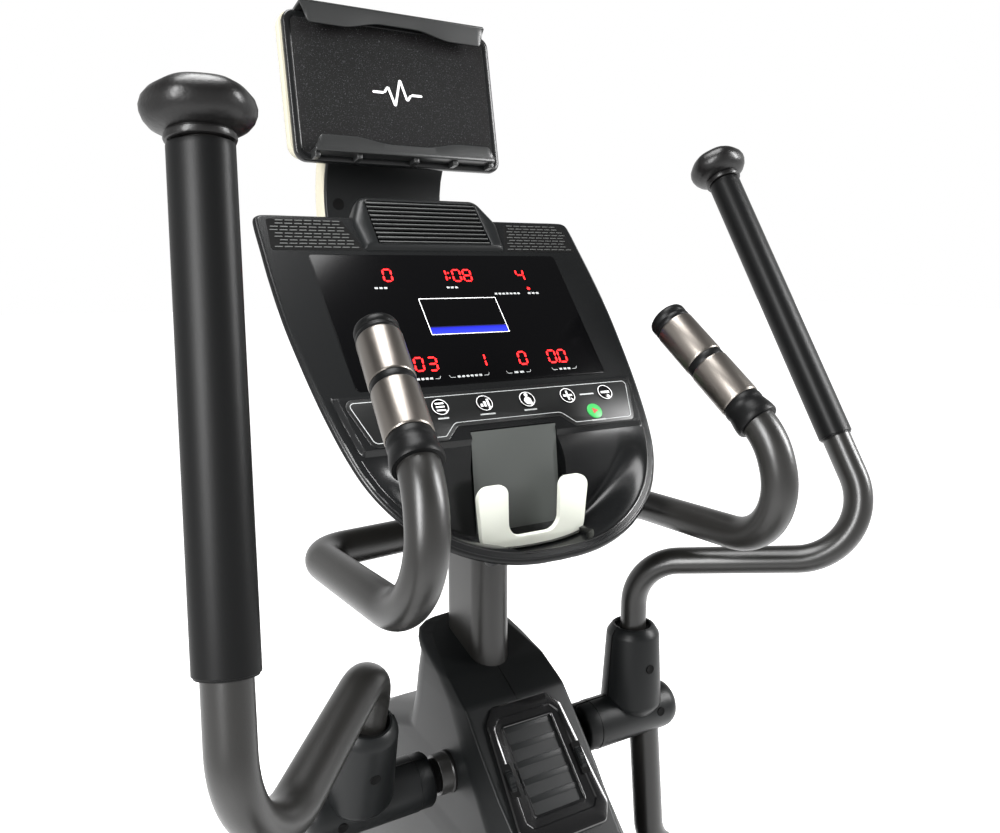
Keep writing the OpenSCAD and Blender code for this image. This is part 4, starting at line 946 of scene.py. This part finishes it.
shell = rounded(both_sides([(122, 0, 13), (122, 158, 13)]), 6)
piece("tablet_front", slab(shell, [(3, -8), (0.2, -7.6), (0, -7), (0, -2), (0.8, -0.6), (2.2, 0), (6.6, 0.3),
                                   (7.8, -0.4), (8.2, -3.4)]), SATIN, "tablet_holder", "tablet_shell",
      TABLET)
rear_shell = rounded(both_sides([(123.5, 7, 14), (123.5, 158, 14)]), 6)
piece("tablet_back", slab(rear_shell, [(18, -27.4), (8, -27), (2.6, -24.4), (-0.4, -20.4), (-1.2, -15),
                                       (-1.2, -9), (-0.6, -7.8), (3, -7.4)]), IVORY, "tablet_holder", None,
      TABLET)
piece("tablet_foam", slab(inset(shell, 7.6), [(0, -4), (0, -0.9), (0.5, -0.4)]), PAD, "tablet_holder",
      "tablet_pad", TABLET)


def lip(y0, height, bump, flip, x1=108, z=14.0):
    """Lip with a wave edge: it stands height from the base line, with a hump of bump in the middle."""
    x = np.linspace(-x1, x1, 81)
    t = np.abs(x) / x1
    edge = height + bump * (1 - smooth((t - 0.18) / 0.42)) - (height - 1.5) * smooth((t - 0.93) / 0.07)
    rings = []
    for z0, k in ((z - 2.2, 0), (z - 2.2, 1), (z - 0.4, 1.0), (z, 0.94), (z, 0)):
        rings.append(np.column_stack([x, y0 + flip * edge * k, np.full(81, z0)]))
    rings.append(rings[0])
    v, f = loft(rings, close=False, caps=(False, False))
    m = len(x)
    f += [[r * m for r in range(len(rings) - 1)], [r * m + m - 1 for r in range(len(rings) - 1)][::-1]]
    return v, f


low_lip = [lip(9.5, 13.5, -6, 1, 106, 17), block(-106, 106, 6, 10.6, -6, 17, 1.4)]
for x in (-103, -57, 9, 57, 103):
    low_lip.append(block(x - 3, x + 3, 1, 7, -4, 13, 1))
piece("tablet_ledge", low_lip, LIP, "tablet_holder", None, TABLET)
piece("tablet_hook", [lip(159.5, 21, -8, -1, 108, 17), block(-108, 108, 157.5, 161.6, -9, 17, 1.4)], LIP,
      "tablet_clamp", "tablet_clamp", TABLET)
pulse_line = [(-30, 80), (-16, 80), (-11, 87), (-4, 66), (4, 96), (11, 73), (16, 80), (30, 80)]
piece("pad_sign", [flat(bar_box(*a, *b, 2.6), -0.3) for a, b in zip(pulse_line[:-1], pulse_line[1:])], BRIGHT,
      "tablet_holder", None, TABLET)


def neck_part(outline):
    """Outline in (x, towards the user) swept up a curve of (y, z) points that is hollow on the user's side."""
    path = np.array([(536, 1505), (539, 1520), (542.5, 1535), (545, 1550), (545, 1565), (542, 1580),
                     (536, 1594), (527, 1606), (515, 1614)], float)
    t = np.gradient(path, axis=0)
    t = t / np.linalg.norm(t, axis=1)[:, None]
    rings = [np.column_stack([outline[:, 0], p[0] - outline[:, 1] * k[1], p[1] + outline[:, 1] * k[0]])
             for p, k in zip(path, t)]
    return loft(rings)


piece("neck_front", neck_part(rect(-72, 72, -6, 1, 2.5)), PLASTIC, "frame", "tablet_neck")
piece("neck_back", neck_part(rect(-73, 73, -34, -5, 6)), IVORY, "frame")
screw = [(6.6, -3), (6.6, 0.3), (6.0, 0.6), (5.4, 0.3), (0.2, 0.3)]
piece("neck_screw", [moved(turned_part(screw, 32), (x, 543.6, 1550), (0, -1, 0.05), (1, 0, 0))
                     for x in (-57, 57)], BLACK_AND_SHADE, "frame")
piece("neck_foot", block(-66, 66, 470, 540, 1492, 1512, 4), PLASTIC, "frame")

# ---------------------------------------------------------------- light, floor and camera

scene = bpy.context.scene
world = bpy.data.worlds.new("studio")
world.use_nodes = True
t = world.node_tree
back = t.nodes["Background"]
c, sep, ramp = (t.nodes.new(k) for k in ("ShaderNodeTexCoord", "ShaderNodeSeparateXYZ", "ShaderNodeMapRange"))
ramp.interpolation_type = "SMOOTHSTEP"
for k, v in (("From Min", 0.26), ("From Max", 0.62), ("To Min", 1.0), ("To Max", 0.16)):
    ramp.inputs[k].default_value = v
t.links.new(c.outputs["Generated"], sep.inputs["Vector"])
t.links.new(sep.outputs["Z"], ramp.inputs["Value"])
t.links.new(ramp.outputs["Result"], back.inputs["Strength"])
back.inputs["Color"].default_value = (1, 1, 1, 1)
scene.world = world
scene.view_settings.view_transform = "Standard"

floor = bpy.data.meshes.new("floor")
floor.from_pydata([(-30, -30, 0), (30, -30, 0), (30, 30, 0), (-30, 30, 0)], [], [(0, 1, 2, 3)])
pale = finish_of("floor_pale", (0.8, 0.8, 0.8), 0.8, spec=0.0)
t = pale.node_tree
c, dist, ramp = (t.nodes.new(k) for k in ("ShaderNodeTexCoord", "ShaderNodeVectorMath", "ShaderNodeMapRange"))
dist.operation = "LENGTH"
ramp.interpolation_type = "SMOOTHSTEP"
for k, v in (("From Min", 0.5), ("From Max", 1.6), ("To Min", 0.25), ("To Max", 1.0)):
    ramp.inputs[k].default_value = v
t.links.new(c.outputs["Object"], dist.inputs[0])
t.links.new(dist.outputs["Value"], ramp.inputs["Value"])
t.links.new(ramp.outputs["Result"], t.nodes["Principled BSDF"].inputs["Emission Strength"])
t.nodes["Principled BSDF"].inputs["Emission Color"].default_value = (1, 1, 1, 1)
floor.materials.append(pale)
floor_obj = bpy.data.objects.new("floor", floor)
scene.collection.objects.link(floor_obj)


def lamp(name, at, to, size, power):
    d = bpy.data.lights.new(name, "AREA")
    d.shape, d.size, d.size_y, d.energy = "RECTANGLE", size[0], size[1], power
    o = bpy.data.objects.new(name, d)
    o.location = at
    v = np.subtract(to, at)
    o.rotation_euler = Vector(v).to_track_quat("-Z", "Y").to_euler()
    scene.collection.objects.link(o)


lamp("key", (-2.2, -1.0, 2.3), (0, 0.2, 1.2), (0.6, 1.8), 150)
lamp("side", (2.1, -0.9, 2.4), (0.1, 0.2, 1.1), (0.6, 1.4), 110)
lamp("top", (-0.3, 0.5, 3.3), (0, 0.2, 1.2), (1.4, 0.9), 70)

camera = bpy.data.cameras.new("camera")
camera.sensor_width, camera.lens = 36, 31.36
cam = bpy.data.objects.new("camera", camera)
cam.location = (-0.4187, -0.4143, 1.4809)
cam.rotation_euler = (math.radians(80.23), 0, math.radians(-30.92))
scene.collection.objects.link(cam)
scene.camera = cam
